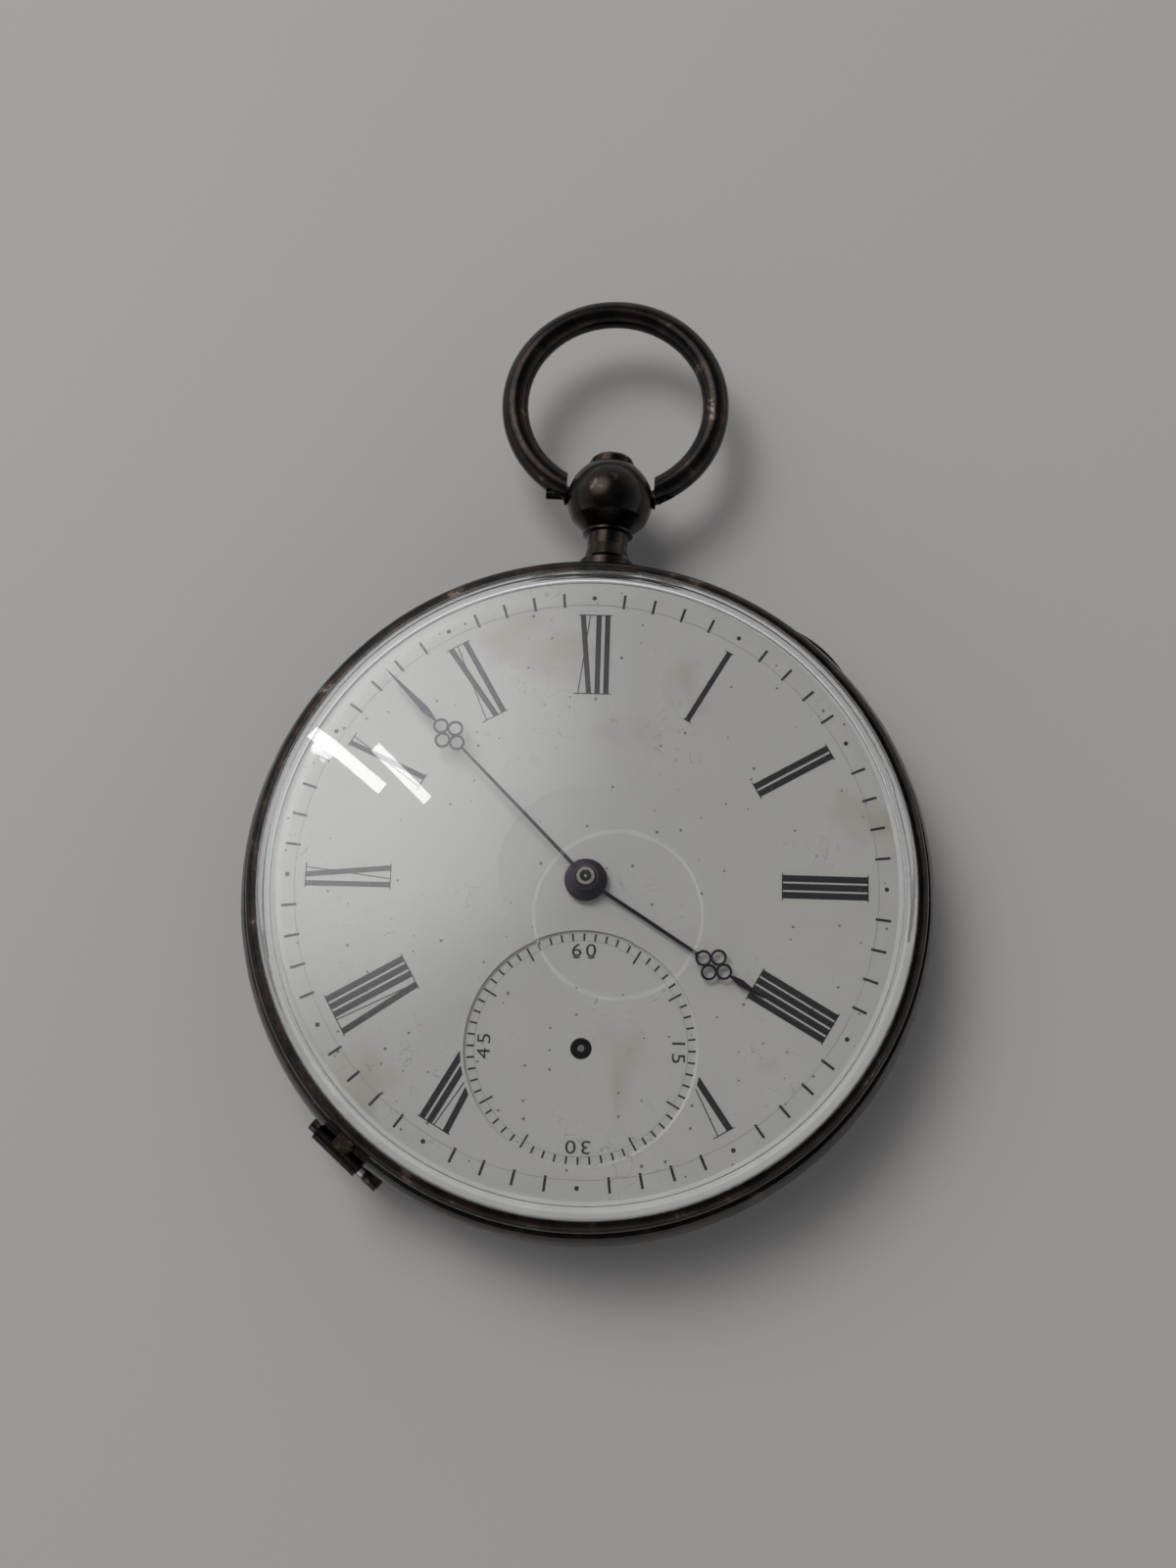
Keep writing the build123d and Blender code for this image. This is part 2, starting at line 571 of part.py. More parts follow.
def bow():
    side = BALL_R + BOW_SIDE_GAP
    ring = Pos(0, BOW_Y, Z_AXIS) * Torus(BOW_R, BOW_WIRE_R)
    ring -= block(2 * side, BOW_R, 0, 2 * Z_AXIS, (0, BOW_Y - BOW_R))
    return ring - along_x(BOW_SCREW_R, -FAR, FAR, BOW_PIVOT_Y, Z_AXIS)


def bow_screw():
    return along_x(BOW_SCREW_R, -BALL_R - BOW_SCREW_TAIL, BALL_R + 0.6, BOW_PIVOT_Y, Z_AXIS)


# ---- movement: plate, bridges and cocks ----------------------------------------------------------
CENTRE_WHEEL_Z = Z_TRAIN + 0.35
THIRD_WHEEL_Z = Z_TRAIN + 1.4
FOURTH_WHEEL_Z = Z_TRAIN + 0.9
ESCAPE_WHEEL_Z = Z_TRAIN + 1.55
ESCAPE_COCK_Z = Z_TRAIN + 0.15
BALANCE_Z = Z_TRAIN - 0.5
BALANCE_H = 0.45
COCK_Z = Z_BRIDGE - 0.25
HAIRSPRING_Z, HAIRSPRING_H = COCK_Z + COCK_T + 0.12, 0.2
BARREL_Z = Z_TRAIN + 0.85
BARREL_TOP = Z_PLATE + RECESS_H - 0.15
CANNON_Z = Z_UNDER_DIAL - MOTION_RECESS_H + 0.05
HOUR_WHEEL_Z = Z_UNDER_DIAL + 0.2
SQUARE_Z = Z_CUVETTE + 0.1
RATCHET_Z, RATCHET_T = Z_BRIDGE - 0.38, 0.3
BRIDGE_JEWELS = (THIRD_AT, FOURTH_AT)


def tip_r(teeth, module, addendum):
    return module * (teeth / 2 + addendum)


def jewel_seat(at, low, high, outside):
    """A jewel's seat between two heights, and the oil hole that goes on from it to outside."""
    far_low, far_high = sorted((low if outside < low else high, outside))
    return disc(JEWEL_R, low, high, at) + disc(JEWEL_R / 2, far_low, far_high, at)


def main_plate():
    barrel_r = tip_r(BARREL_TEETH, BARREL_MODULE, WHEEL_ADDENDUM) + RECESS_ROOM
    pinion_r = tip_r(CENTRE_LEAVES, BARREL_MODULE, LEAF_ADDENDUM) + RECESS_ROOM
    hour_r = tip_r(HOUR_TEETH, HOUR_MODULE, WHEEL_ADDENDUM) + RECESS_ROOM
    minute_r = tip_r(MINUTE_TEETH, CANNON_MODULE, WHEEL_ADDENDUM) + RECESS_ROOM
    motion_floor = Z_UNDER_DIAL - MOTION_RECESS_H
    plate = disc(PLATE_R, Z_PLATE, Z_UNDER_DIAL)
    plate -= disc(barrel_r, Z_PLATE - 1, Z_PLATE + RECESS_H, BARREL_AT)
    plate -= disc(pinion_r, Z_PLATE - 1, Z_PLATE + RECESS_H)
    plate -= disc(hour_r, motion_floor, Z_UNDER_DIAL + 1)
    plate -= disc(minute_r, motion_floor, Z_UNDER_DIAL + 1, MINUTE_WHEEL_AT)
    plate -= disc(CENTRE_JOURNAL_R + TURN_FIT, Z_PLATE, Z_DIAL)
    plate -= disc(BARREL_JOURNAL_R + TURN_FIT, Z_PLATE, Z_DIAL, BARREL_AT)
    plate -= disc(ARBOR_R, motion_floor - JEWEL_T, Z_DIAL, MINUTE_WHEEL_AT)
    for at in (THIRD_AT, FOURTH_AT, ESCAPE_AT, BALANCE_AT):
        plate -= jewel_seat(at, Z_PLATE, Z_PLATE + JEWEL_T, Z_UNDER_DIAL)
    for at, _ in screw_places():
        plate -= disc(SCREW_R, Z_PLATE - 1, Z_PLATE + 1, at)
    for angle in DIAL_FOOT_ANGLES:
        plate -= disc(DIAL_FOOT_R, Z_PLATE - 1, Z_DIAL, clock(angle, DIAL_FOOT_OUT))
    for at in case_screw_places():
        plate -= disc(SCREW_R, Z_PLATE - 1, Z_PLATE + 1, at)
    return plate


def case_screw_places():
    return [clock(angle, LEDGE_R - 0.65 * CASE_SCREW_HEAD_R) for angle in CASE_SCREW_ANGLES]


def screw_places():
    """Each bridge screw's place, and the height of the top of its head."""
    on_bridges = [*BARREL_FEET, CENTRE_FOOT, THIRD_FOOT, FOURTH_FOOT]
    places = [(at, Z_BRIDGE) for at in on_bridges]
    return places + [(COCK_FOOT, COCK_Z), (ESCAPE_FOOT, ESCAPE_COCK_Z)]


def screw(at, head_r, head_low, head_high, end):
    """A slotted screw with its head between two heights and its shank up to an end."""
    slot = block(2 * head_r, 0.18, head_low - 1, head_low + 0.14, at)
    return disc(head_r, head_low, head_high, at) + disc(SCREW_R, head_high, end, at) - slot


def bridge(feet, foot_r, tips, low, high):
    """A bridge: pillars on the plate, and a finger that reaches to each arbor's tip circle."""
    shape = plan(low, high, *[(x, y, foot_r) for x, y in feet], *tips)
    for at in feet:
        shape += disc(foot_r, high - 0.1, Z_PLATE, at)
    for at, head in screw_places():
        if at in feet:
            shape -= disc(SCREW_R, low - 1, Z_PLATE + 1, at)
            shape -= disc(SCREW_HEAD_R, low - 1, head + SCREW_HEAD_H, at)
    return shape


def with_jewel(shape, at, low, outside):
    """Cuts a jewel's seat up to the wheels' side of a bridge."""
    return shape - jewel_seat(at, low, low + JEWEL_T, outside)


def barrel_bridge():
    shape = bridge(BARREL_FEET, BRIDGE_FOOT_R + 0.3, [(*BARREL_AT, 4.2)], Z_BRIDGE, Z_TRAIN)
    shape -= disc(BARREL_JOURNAL_R + TURN_FIT, Z_BRIDGE - 1, Z_PLATE, BARREL_AT)
    for at in (CLICK_AT, CLICK_SPRING_AT):
        shape -= disc(SCREW_R, Z_BRIDGE - 1, Z_TRAIN - 0.4, at)
    return shape


def centre_bridge():
    shape = bridge([CENTRE_FOOT], BRIDGE_FOOT_R, [(*MIDDLE, 1.8)], Z_BRIDGE, Z_TRAIN)
    return shape - disc(CENTRE_JOURNAL_R + TURN_FIT, Z_BRIDGE - 1, Z_PLATE)


def third_bridge():
    shape = bridge([THIRD_FOOT], BRIDGE_FOOT_R, [(*THIRD_AT, 1.6)], Z_BRIDGE, Z_TRAIN)
    return with_jewel(shape, THIRD_AT, Z_TRAIN - JEWEL_T, Z_BRIDGE - 1)


def fourth_bridge():
    shape = bridge([FOURTH_FOOT], SMALL_FOOT_R, [(*FOURTH_AT, 1.1)], Z_BRIDGE, Z_TRAIN)
    return with_jewel(shape, FOURTH_AT, Z_TRAIN - JEWEL_T, Z_BRIDGE - 1)


def escape_cock():
    top = ESCAPE_COCK_Z + ESCAPE_COCK_T
    shape = bridge([ESCAPE_FOOT], SMALL_FOOT_R, [(*ESCAPE_AT, 1.0)], ESCAPE_COCK_Z, top)
    return with_jewel(shape, ESCAPE_AT, top - JEWEL_T, ESCAPE_COCK_Z - 1)


def balance_cock():
    top = COCK_Z + COCK_T
    shape = bridge([COCK_FOOT], SMALL_FOOT_R, [(*BALANCE_AT, 3.9)], COCK_Z, top)
    return with_jewel(shape, BALANCE_AT, top - JEWEL_T, COCK_Z - 1)


def jewel(at, low, hole=PIVOT_R + RUN_FIT):
    """A turned ruby with its pivot hole."""
    return tube(JEWEL_R, hole, low, low + JEWEL_T, at)


def plate_jewels():
    wide = SECONDS_PIVOT_R + RUN_FIT
    stones = [jewel(at, Z_PLATE) for at in (THIRD_AT, ESCAPE_AT, BALANCE_AT)]
    return Compound([*stones, jewel(FOURTH_AT, Z_PLATE, wide)])


def bridge_jewels():
    stones = [jewel(at, Z_TRAIN - JEWEL_T) for at in BRIDGE_JEWELS]
    escape = jewel(ESCAPE_AT, ESCAPE_COCK_Z + ESCAPE_COCK_T - JEWEL_T)
    return Compound([*stones, escape, jewel(BALANCE_AT, COCK_Z + COCK_T - JEWEL_T)])


def bridge_screws():
    return Compound([
        screw(at, SCREW_HEAD_R, head, head + SCREW_HEAD_H, Z_PLATE + 1) for at, head in screw_places()
    ])


def case_screws():
    """Dog screws, whose heads hold the plate down on the case's ledge."""
    top = Z_PLATE - LEDGE_T
    return Compound([
        screw(at, CASE_SCREW_HEAD_R, top - SCREW_HEAD_H, top, Z_PLATE + 1) for at in case_screw_places()
    ])


# ---- movement: going train -----------------------------------------------------------------------
def pinion(count, module, turn, leaf_z, leaf_h, body_r, low, high, top_r=PIVOT_R, top=None):
    """A pinion cut from its arbor, with a pivot at each end, between two bearing faces."""
    end = high + JEWEL_T - RUN_FIT if top is None else top
    body_low, body_high = low + TURN_FIT, high - TURN_FIT
    arbor = disc(PIVOT_R, low - JEWEL_T + RUN_FIT, body_low) + disc(body_r, body_low, body_high)
    arbor += disc(top_r, body_high, end)
    return arbor + Rot(0, 0, turn) * leaves(count, module, leaf_z, leaf_z + leaf_h)


THIRD_TURN = mesh_turn(MIDDLE, CENTRE_TEETH, 0, THIRD_AT, THIRD_LEAVES)
FOURTH_TURN = mesh_turn(THIRD_AT, THIRD_TEETH, 0, FOURTH_AT, FOURTH_LEAVES)
ESCAPE_TURN = mesh_turn(FOURTH_AT, FOURTH_TEETH, 0, ESCAPE_AT, ESCAPE_LEAVES)
CENTRE_TURN = mesh_turn(BARREL_AT, BARREL_TEETH, 0, MIDDLE, CENTRE_LEAVES)
MINUTE_TURN = mesh_turn(MIDDLE, CANNON_LEAVES, 0, MINUTE_WHEEL_AT, MINUTE_TEETH)
HOUR_TURN = mesh_turn(MINUTE_WHEEL_AT, MINUTE_LEAVES, 0, MIDDLE, HOUR_TEETH)


def centre_pinion():
    """The hollow centre arbor, with the leaves that the barrel drives."""
    leaf_low, leaf_high = Z_PLATE - 0.15, Z_PLATE + RECESS_H - 0.15
    root = tip_r(CENTRE_LEAVES, BARREL_MODULE, -LEAF_DEDENDUM)
    body_low = Z_TRAIN + TURN_FIT
    body = disc(CENTRE_JOURNAL_R, Z_BRIDGE + TURN_FIT, Z_UNDER_DIAL - MOTION_RECESS_H)
    body += disc(ARBOR_R + 0.6, body_low, CENTRE_WHEEL_Z)
    body += disc(root, leaf_low - 0.2, leaf_high)
    body += Rot(0, 0, CENTRE_TURN) * leaves(CENTRE_LEAVES, BARREL_MODULE, leaf_low, leaf_high)
    return body - disc(SETTING_R + RUN_FIT, 0, Z_FACE)


def centre_wheel():
    top = CENTRE_WHEEL_Z + WHEEL_T
    return wheel(CENTRE_TEETH, CENTRE_MODULE, CENTRE_WHEEL_Z, top, CENTRE_JOURNAL_R, hub=1.6)


def third_pinion():
    low, high = Z_TRAIN, Z_PLATE
    leaf_z = CENTRE_WHEEL_Z - 0.12
    return pinion(THIRD_LEAVES, CENTRE_MODULE, THIRD_TURN, leaf_z, LEAF_H, ARBOR_R, low, high)


def third_wheel():
    return wheel(THIRD_TEETH, THIRD_MODULE, THIRD_WHEEL_Z, THIRD_WHEEL_Z + WHEEL_T - 0.05, ARBOR_R)


def fourth_pinion():
    """Its long upper pivot passes through the plate and carries the seconds hand."""
    leaf_z, top = THIRD_WHEEL_Z - 0.15, Z_FACE - SECONDS_PIVOT_SUNK
    return pinion(
        FOURTH_LEAVES, THIRD_MODULE, FOURTH_TURN, leaf_z, LEAF_H, ARBOR_R, Z_TRAIN, Z_PLATE,
        SECONDS_PIVOT_R, top,
    )


def fourth_wheel():
    return wheel(FOURTH_TEETH, FOURTH_MODULE, FOURTH_WHEEL_Z, FOURTH_WHEEL_Z + WHEEL_T - 0.05, ARBOR_R)


def escape_pinion():
    low, leaf_z = ESCAPE_COCK_Z + ESCAPE_COCK_T, FOURTH_WHEEL_Z - 0.15
    turn, body_r = ESCAPE_TURN, ESCAPE_ARBOR_R
    return pinion(ESCAPE_LEAVES, FOURTH_MODULE, turn, leaf_z, LEAF_H, body_r, low, Z_PLATE)


def saw_teeth(teeth, outer_r, depth, low, high):
    """A disc with saw teeth, steep on one side."""
    corners = []
    for tooth in range(teeth):
        angle = 2 * pi * tooth / teeth
        corners += [polar(outer_r - depth, angle, low), polar(outer_r, angle, low)]
    return extrude(make_face(Polyline(*corners, close=True)), high - low, dir=(0, 0, 1))


def escape_wheel():
    low, high = ESCAPE_WHEEL_Z, ESCAPE_WHEEL_Z + WHEEL_T
    inside = ESCAPE_R - 1.1
    rim = saw_teeth(ESCAPE_TEETH, ESCAPE_R, 0.7, low, high) - disc(inside, low - 1, high + 1)
    return rim + crossing(inside, low, high, 3, 0.7) - disc(ESCAPE_ARBOR_R, low - 1, high + 1)


# ---- movement: barrel and winding ----------------------------------------------------------------
def drum_r():
    return tip_r(BARREL_TEETH, BARREL_MODULE, -WHEEL_DEDENDUM) - 0.15


def barrel():
    """The spring's drum: floor, wall and the teeth round it."""
    outer, hole = drum_r(), BARREL_JOURNAL_R + TURN_FIT
    inner = outer - BARREL_WALL
    teeth_top = BARREL_TOP - 0.1
    teeth = toothed(
        BARREL_TEETH, BARREL_MODULE, teeth_top - 0.4, teeth_top,
        WHEEL_ADDENDUM, WHEEL_DEDENDUM, TOOTH_SHARE,
    )
    drum = disc(outer, BARREL_Z, BARREL_TOP) + teeth
    drum -= disc(inner, BARREL_Z - 1, BARREL_TOP - BARREL_FLOOR)
    return drum - disc(hole, BARREL_Z, BARREL_TOP + 1)


def barrel_cover():
    outer = drum_r() - BARREL_WALL
    return tube(outer, BARREL_JOURNAL_R + TURN_FIT, BARREL_Z, BARREL_Z + 0.2)


def barrel_arbor():
    """The arbor that the key turns, with the hub that the mainspring winds on to."""
    shape = disc(BARREL_JOURNAL_R, Z_BRIDGE, Z_UNDER_DIAL - TURN_FIT)
    shape += disc(BARREL_HUB_R, BARREL_Z + 0.25, BARREL_TOP - BARREL_FLOOR - TURN_FIT)
    return shape + block(WINDING_SQUARE, WINDING_SQUARE, SQUARE_Z, Z_BRIDGE)


def mainspring():
    low, high = BARREL_Z + 0.3, BARREL_TOP - BARREL_FLOOR - 2 * TURN_FIT
    pitch, first = 0.5, BARREL_HUB_R + 0.4
    turns = (drum_r() - BARREL_WALL - first - 0.4) / pitch
    return spiral(first, pitch, turns, 0.2, low, high)


def ratchet_wheel():
    top = RATCHET_Z + RATCHET_T
    shape = saw_teeth(RATCHET_TEETH, RATCHET_R, RATCHET_DEPTH, RATCHET_Z, top)
    return shape - block(WINDING_SQUARE, WINDING_SQUARE, RATCHET_Z - 1, top + 1)


def from_barrel(angle, distance):
    """A place at a clock angle and a distance from the barrel's arbor."""
    dx, dy = clock(angle, distance)
    return (BARREL_AT[0] + dx, BARREL_AT[1] + dy)


CLICK_AT = from_barrel(280, RATCHET_R + 1.2)
CLICK_NOSE_AT = from_barrel(310, RATCHET_R + 0.3)
CLICK_SPRING_AT = from_barrel(300, RATCHET_R + 3.4)
CLICK_SPRING_TIP = from_barrel(318, RATCHET_R + 1.25)


def click():
    """The pawl that holds the ratchet; its nose stays just off the points of the teeth."""
    low, high = RATCHET_Z, RATCHET_Z + RATCHET_T
    shape = plan(low, high, (*CLICK_AT, 0.8), (*CLICK_NOSE_AT, 0.2))
    return shape - disc(SCREW_R + TURN_FIT, low - 1, high + 1, CLICK_AT)


def click_screw():
    top = RATCHET_Z - RUN_FIT
    return disc(0.65, top - 0.2, top, CLICK_AT) + disc(SCREW_R, top, Z_TRAIN - 0.4, CLICK_AT)


def click_spring():
    """A thin blade from its own screw to beside the click's nose."""
    low, high = RATCHET_Z, RATCHET_Z + RATCHET_T
    blade = plan(low, high - 0.05, (*CLICK_SPRING_AT, 0.12), (*CLICK_SPRING_TIP, 0.08))
    foot = disc(0.6, low, Z_BRIDGE, CLICK_SPRING_AT)
    return blade + foot + disc(SCREW_R, Z_BRIDGE, Z_TRAIN - 0.4, CLICK_SPRING_AT)


# ---- movement: balance ---------------------------------------------------------------------------
def balance_wheel():
    low, high = BALANCE_Z, BALANCE_Z + BALANCE_H
    inside = BALANCE_R - BALANCE_RIM_W
    rim = tube(BALANCE_R, inside, low, high)
    return rim + crossing(inside, low + 0.08, high - 0.08, 3, 0.9) - disc(ARBOR_R, low - 1, high + 1)


def balance_staff():
    """The staff, with the cut cylinder that the escape wheel's teeth pass."""
    cock_face, cylinder_low = COCK_Z + COCK_T, BALANCE_Z + BALANCE_H + TURN_FIT
    end, wheel_low, wheel_high = Z_PLATE - TURN_FIT, ESCAPE_WHEEL_Z, ESCAPE_WHEEL_Z + WHEEL_T
    shape = disc(PIVOT_R, cock_face - JEWEL_T + RUN_FIT, cock_face + RUN_FIT)
    shape += disc(ARBOR_R, cock_face + RUN_FIT, cylinder_low) + disc(CYLINDER_R, cylinder_low, end)
    shape += disc(PIVOT_R, end, Z_PLATE + JEWEL_T - RUN_FIT)
    shape -= disc(CYLINDER_R - CYLINDER_WALL, wheel_low - 0.15, wheel_high + 0.1)
    facing = degrees(atan2(ESCAPE_AT[1] - BALANCE_AT[1], ESCAPE_AT[0] - BALANCE_AT[0]))
    passage = Rot(0, 0, facing) * block(2, 2, wheel_low - 0.1, wheel_high + 0.05, (1, 0))
    return shape - passage


def collet():
    return tube(2 * ARBOR_R, ARBOR_R, HAIRSPRING_Z, HAIRSPRING_Z + HAIRSPRING_H)


HAIRSPRING_FIRST, HAIRSPRING_PITCH, HAIRSPRING_TURNS, HAIRSPRING_T = 1.0, 0.3, 8, 0.06


def hairspring():
    top = HAIRSPRING_Z + HAIRSPRING_H
    return spiral(HAIRSPRING_FIRST, HAIRSPRING_PITCH, HAIRSPRING_TURNS, HAIRSPRING_T, HAIRSPRING_Z, top)


def hairspring_stud():
    """The block under the cock that the spring's outer end is pinned in."""
    last = HAIRSPRING_FIRST + (HAIRSPRING_TURNS - 0.25) * HAIRSPRING_PITCH
    return block(0.5, 0.6, COCK_Z + COCK_T, HAIRSPRING_Z + HAIRSPRING_H, (last + 0.25, 0.0))


def endcap():
    return disc(0.9, COCK_Z - 0.15, COCK_Z)


def regulator():
    """The index lever, a ring round the end cap with a pointer."""
    low, high = COCK_Z - 0.2, COCK_Z - RUN_FIT
    ring = plan(low, high, (0, 0, 1.5), (-5.2, 0, 0.12))
    return ring - disc(0.9 + TURN_FIT, low - 1, high + 1)


# ---- dial side -----------------------------------------------------------------------------------
def setting_arbor():
    """Runs through the hollow centre arbor, with a square for the key at the back."""
    shape = disc(SETTING_R, Z_BRIDGE - TURN_FIT, Z_FACE + MINUTE_CLEAR + 0.6)
    return shape + block(SETTING_SQUARE, SETTING_SQUARE, SQUARE_Z, Z_BRIDGE - TURN_FIT)


def cannon_pinion():
    leaf_high = CANNON_Z + 0.6
    minute_z = Z_FACE + MINUTE_CLEAR
    shape = leaves(CANNON_LEAVES, CANNON_MODULE, CANNON_Z, leaf_high)
    shape += disc(CANNON_R, CANNON_Z, minute_z) + disc(SETTING_R + 0.2, minute_z, minute_z + 0.4)
    return shape - disc(SETTING_R, CANNON_Z - 1, Z_CRYSTAL_TOP)


def minute_wheel():
    low = CANNON_Z + 0.05
    return wheel(MINUTE_TEETH, CANNON_MODULE, low, low + WHEEL_T, ARBOR_R + TURN_FIT, 3, 0.9)


def minute_pinion():
    low, high = CANNON_Z + 0.05 + WHEEL_T, Z_DIAL - 0.1
    shape = leaves(MINUTE_LEAVES, HOUR_MODULE, low, high)
    return shape - disc(ARBOR_R + TURN_FIT, low - 1, high + 1)


def minute_post():
    return disc(ARBOR_R, Z_UNDER_DIAL - MOTION_RECESS_H - JEWEL_T, Z_DIAL - 0.1)


def hour_wheel():
    low, high = HOUR_WHEEL_Z, HOUR_WHEEL_Z + WHEEL_T
    shape = toothed(HOUR_TEETH, HOUR_MODULE, low, high, WHEEL_ADDENDUM, WHEEL_DEDENDUM, TOOTH_SHARE)
    shape += disc(HOUR_PIPE_R, low, Z_FACE + HOUR_CLEAR + HAND_T + 0.1)
    return shape - disc(CANNON_R + TURN_FIT, low - 1, Z_CRYSTAL_TOP)


def dial():
    bevel = 0.3
    plate = turned(
        (0, Z_DIAL), (DIAL_R, Z_DIAL), (DIAL_R, Z_FACE - bevel), (DIAL_R - bevel, Z_FACE), (0, Z_FACE)
    )
    plate -= disc(SMALL_DIAL_R, Z_DIAL - 1, Z_FACE + 1, FOURTH_AT)
    return plate - disc(HOUR_PIPE_R + 0.2, Z_DIAL - 1, Z_FACE + 1)


def seconds_dial():
    return tube(SMALL_DIAL_R, SMALL_DIAL_HOLE_R, Z_DIAL, Z_FACE - SMALL_DIAL_SUNK, FOURTH_AT)


def dial_feet():
    return Compound([
        disc(DIAL_FOOT_R, Z_PLATE + 0.2, Z_DIAL, clock(angle, DIAL_FOOT_OUT)) for angle in DIAL_FOOT_ANGLES
    ])


def loops(middle, low, high):
    """Four open rings, set in a cross, that pierce a hand."""
    places = [(0, middle - LOOP_STEP), (0, middle + LOOP_STEP), (LOOP_SIDE, middle), (-LOOP_SIDE, middle)]
    solid, holes = None, None
    for at in places:
        rim, hole = disc(LOOP_R, low, high, at), disc(LOOP_R - LOOP_W, low - 1, high + 1, at)
        solid, holes = (rim, hole) if solid is None else (solid + rim, holes + hole)
    return solid - holes


def blade(low, high, *halves):
    """A flat strip along Y from (distance, half width) pairs."""
    right = [(half, out, low) for out, half in halves]
    left = [(-half, out, low) for out, half in reversed(halves)]
    return extrude(make_face(Polyline(*right, *left, close=True)), high - low, dir=(0, 0, 1))


def hand(low, boss_r, root_half, end_half, middle, belly, belly_half, length):
    """A hand that points at 12: stem, four loops and a spear."""
    high = low + HAND_T
    spear = middle + LOOP_STEP + LOOP_R
    foot = middle - LOOP_STEP - LOOP_R
    shape = blade(low, high, (boss_r - 0.3, root_half), (foot + 0.08, end_half))
    shape += blade(low, high, (spear - 0.08, 0.06), (belly, belly_half), (length, 0.01))
    return shape + loops(middle, low, high)


def hour_hand():
    low = Z_FACE + HOUR_CLEAR
    shape = hand(low, BOSS_R, 0.12, 0.11, 9.79, 11.83, 0.233, HOUR_LENGTH)
    shape += disc(BOSS_R, low, low + 1.3 * HAND_T)
    return Rot(0, 0, -HOUR_ANGLE) * (shape - disc(HOUR_PIPE_R, low - 1, low + 1))


def minute_hand():
    low = Z_FACE + MINUTE_CLEAR
    shape = hand(low, BUSH_R + 0.2, 0.12, 0.08, 13.04, 15.36, 0.252, MINUTE_LENGTH)
    shape += disc(BUSH_R, low, low + 0.45)
    return Rot(0, 0, -MINUTE_ANGLE) * (shape - disc(SETTING_R + 0.2, low - 1, low + 1))


# ---- the whole watch -----------------------------------------------------------------------------
def placed(shape, at):
    return in_movement(Pos(at[0], at[1], 0) * shape)


def every_part():
    """Each node's name and its shape in the case's frame."""
    return {
        "case_band": case_band(),
        "pendant": pendant(),
        "pendant_button": pendant_button(),
        "bow": bow(),
        "bow_screw": bow_screw(),
        "bezel": bezel(),
        "bezel_hinge_pin": hinge_pin(3, Z_BEZEL_HINGE),
        "crystal": crystal(),
        "back_cover": back_cover(),
        "back_hinge_pin": hinge_pin(5, Z_BACK_HINGE),
        "cuvette": cuvette(),
        "main_plate": in_movement(main_plate()),
        "case_screws": in_movement(case_screws()),
        "barrel_bridge": in_movement(barrel_bridge()),
        "centre_bridge": in_movement(centre_bridge()),
        "third_bridge": in_movement(third_bridge()),
        "fourth_bridge": in_movement(fourth_bridge()),
        "escape_cock": in_movement(escape_cock()),
        "balance_cock": in_movement(balance_cock()),
        "bridge_screws": in_movement(bridge_screws()),
        "plate_jewels": in_movement(plate_jewels()),
        "bridge_jewels": in_movement(bridge_jewels()),
        "barrel": placed(barrel(), BARREL_AT),
        "barrel_cover": placed(barrel_cover(), BARREL_AT),
        "mainspring": placed(mainspring(), BARREL_AT),
        "barrel_arbor": placed(barrel_arbor(), BARREL_AT),
        "ratchet_wheel": placed(ratchet_wheel(), BARREL_AT),
        "click": in_movement(click()),
        "click_screw": in_movement(click_screw()),
        "click_spring": in_movement(click_spring()),
        "centre_pinion": in_movement(centre_pinion()),
        "centre_wheel": in_movement(centre_wheel()),
        "third_pinion": placed(third_pinion(), THIRD_AT),
        "third_wheel": placed(third_wheel(), THIRD_AT),
        "fourth_pinion": placed(fourth_pinion(), FOURTH_AT),
        "fourth_wheel": placed(fourth_wheel(), FOURTH_AT),
        "escape_pinion": placed(escape_pinion(), ESCAPE_AT),
        "escape_wheel": placed(escape_wheel(), ESCAPE_AT),
        "balance_wheel": placed(balance_wheel(), BALANCE_AT),
        "balance_staff": placed(balance_staff(), BALANCE_AT),
        "hairspring_collet": placed(collet(), BALANCE_AT),
        "hairspring": placed(hairspring(), BALANCE_AT),
        "hairspring_stud": placed(hairspring_stud(), BALANCE_AT),
        "balance_endcap": placed(endcap(), BALANCE_AT),
        "regulator": placed(regulator(), BALANCE_AT),
        "setting_arbor": in_movement(setting_arbor()),
        "cannon_pinion": in_movement(cannon_pinion()),
        "minute_wheel": placed(Rot(0, 0, MINUTE_TURN) * minute_wheel(), MINUTE_WHEEL_AT),
        "minute_pinion": placed(minute_pinion(), MINUTE_WHEEL_AT),
        "minute_wheel_post": placed(minute_post(), MINUTE_WHEEL_AT),
        "hour_wheel": in_movement(Rot(0, 0, HOUR_TURN) * hour_wheel()),
        "dial": in_movement(dial()),
        "seconds_dial": in_movement(seconds_dial()),
        "dial_feet": in_movement(dial_feet()),
        "hour_hand": in_movement(hour_hand()),
        "minute_hand": in_movement(minute_hand()),
    }


def main():
    os.makedirs("parts", exist_ok=True)
    for name, shape in every_part().items():
        export_step(shape, f"parts/{name}.step")


if __name__ == "__main__":
    main()
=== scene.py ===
"""Looks for a key-wound open-face pocket watch, lying face up on a plain table.

Lengths are written in millimetres and made metres by MM. +Z points out of the dial and +Y to the pendant.
Clock angles are in degrees clockwise from +Y. The dial sits in the case turned by DIAL_TURN.
"""

import json
from math import atan2, cos, degrees, hypot, pi, radians, sin, sqrt

import bmesh
import bpy
from mathutils import Matrix, Vector


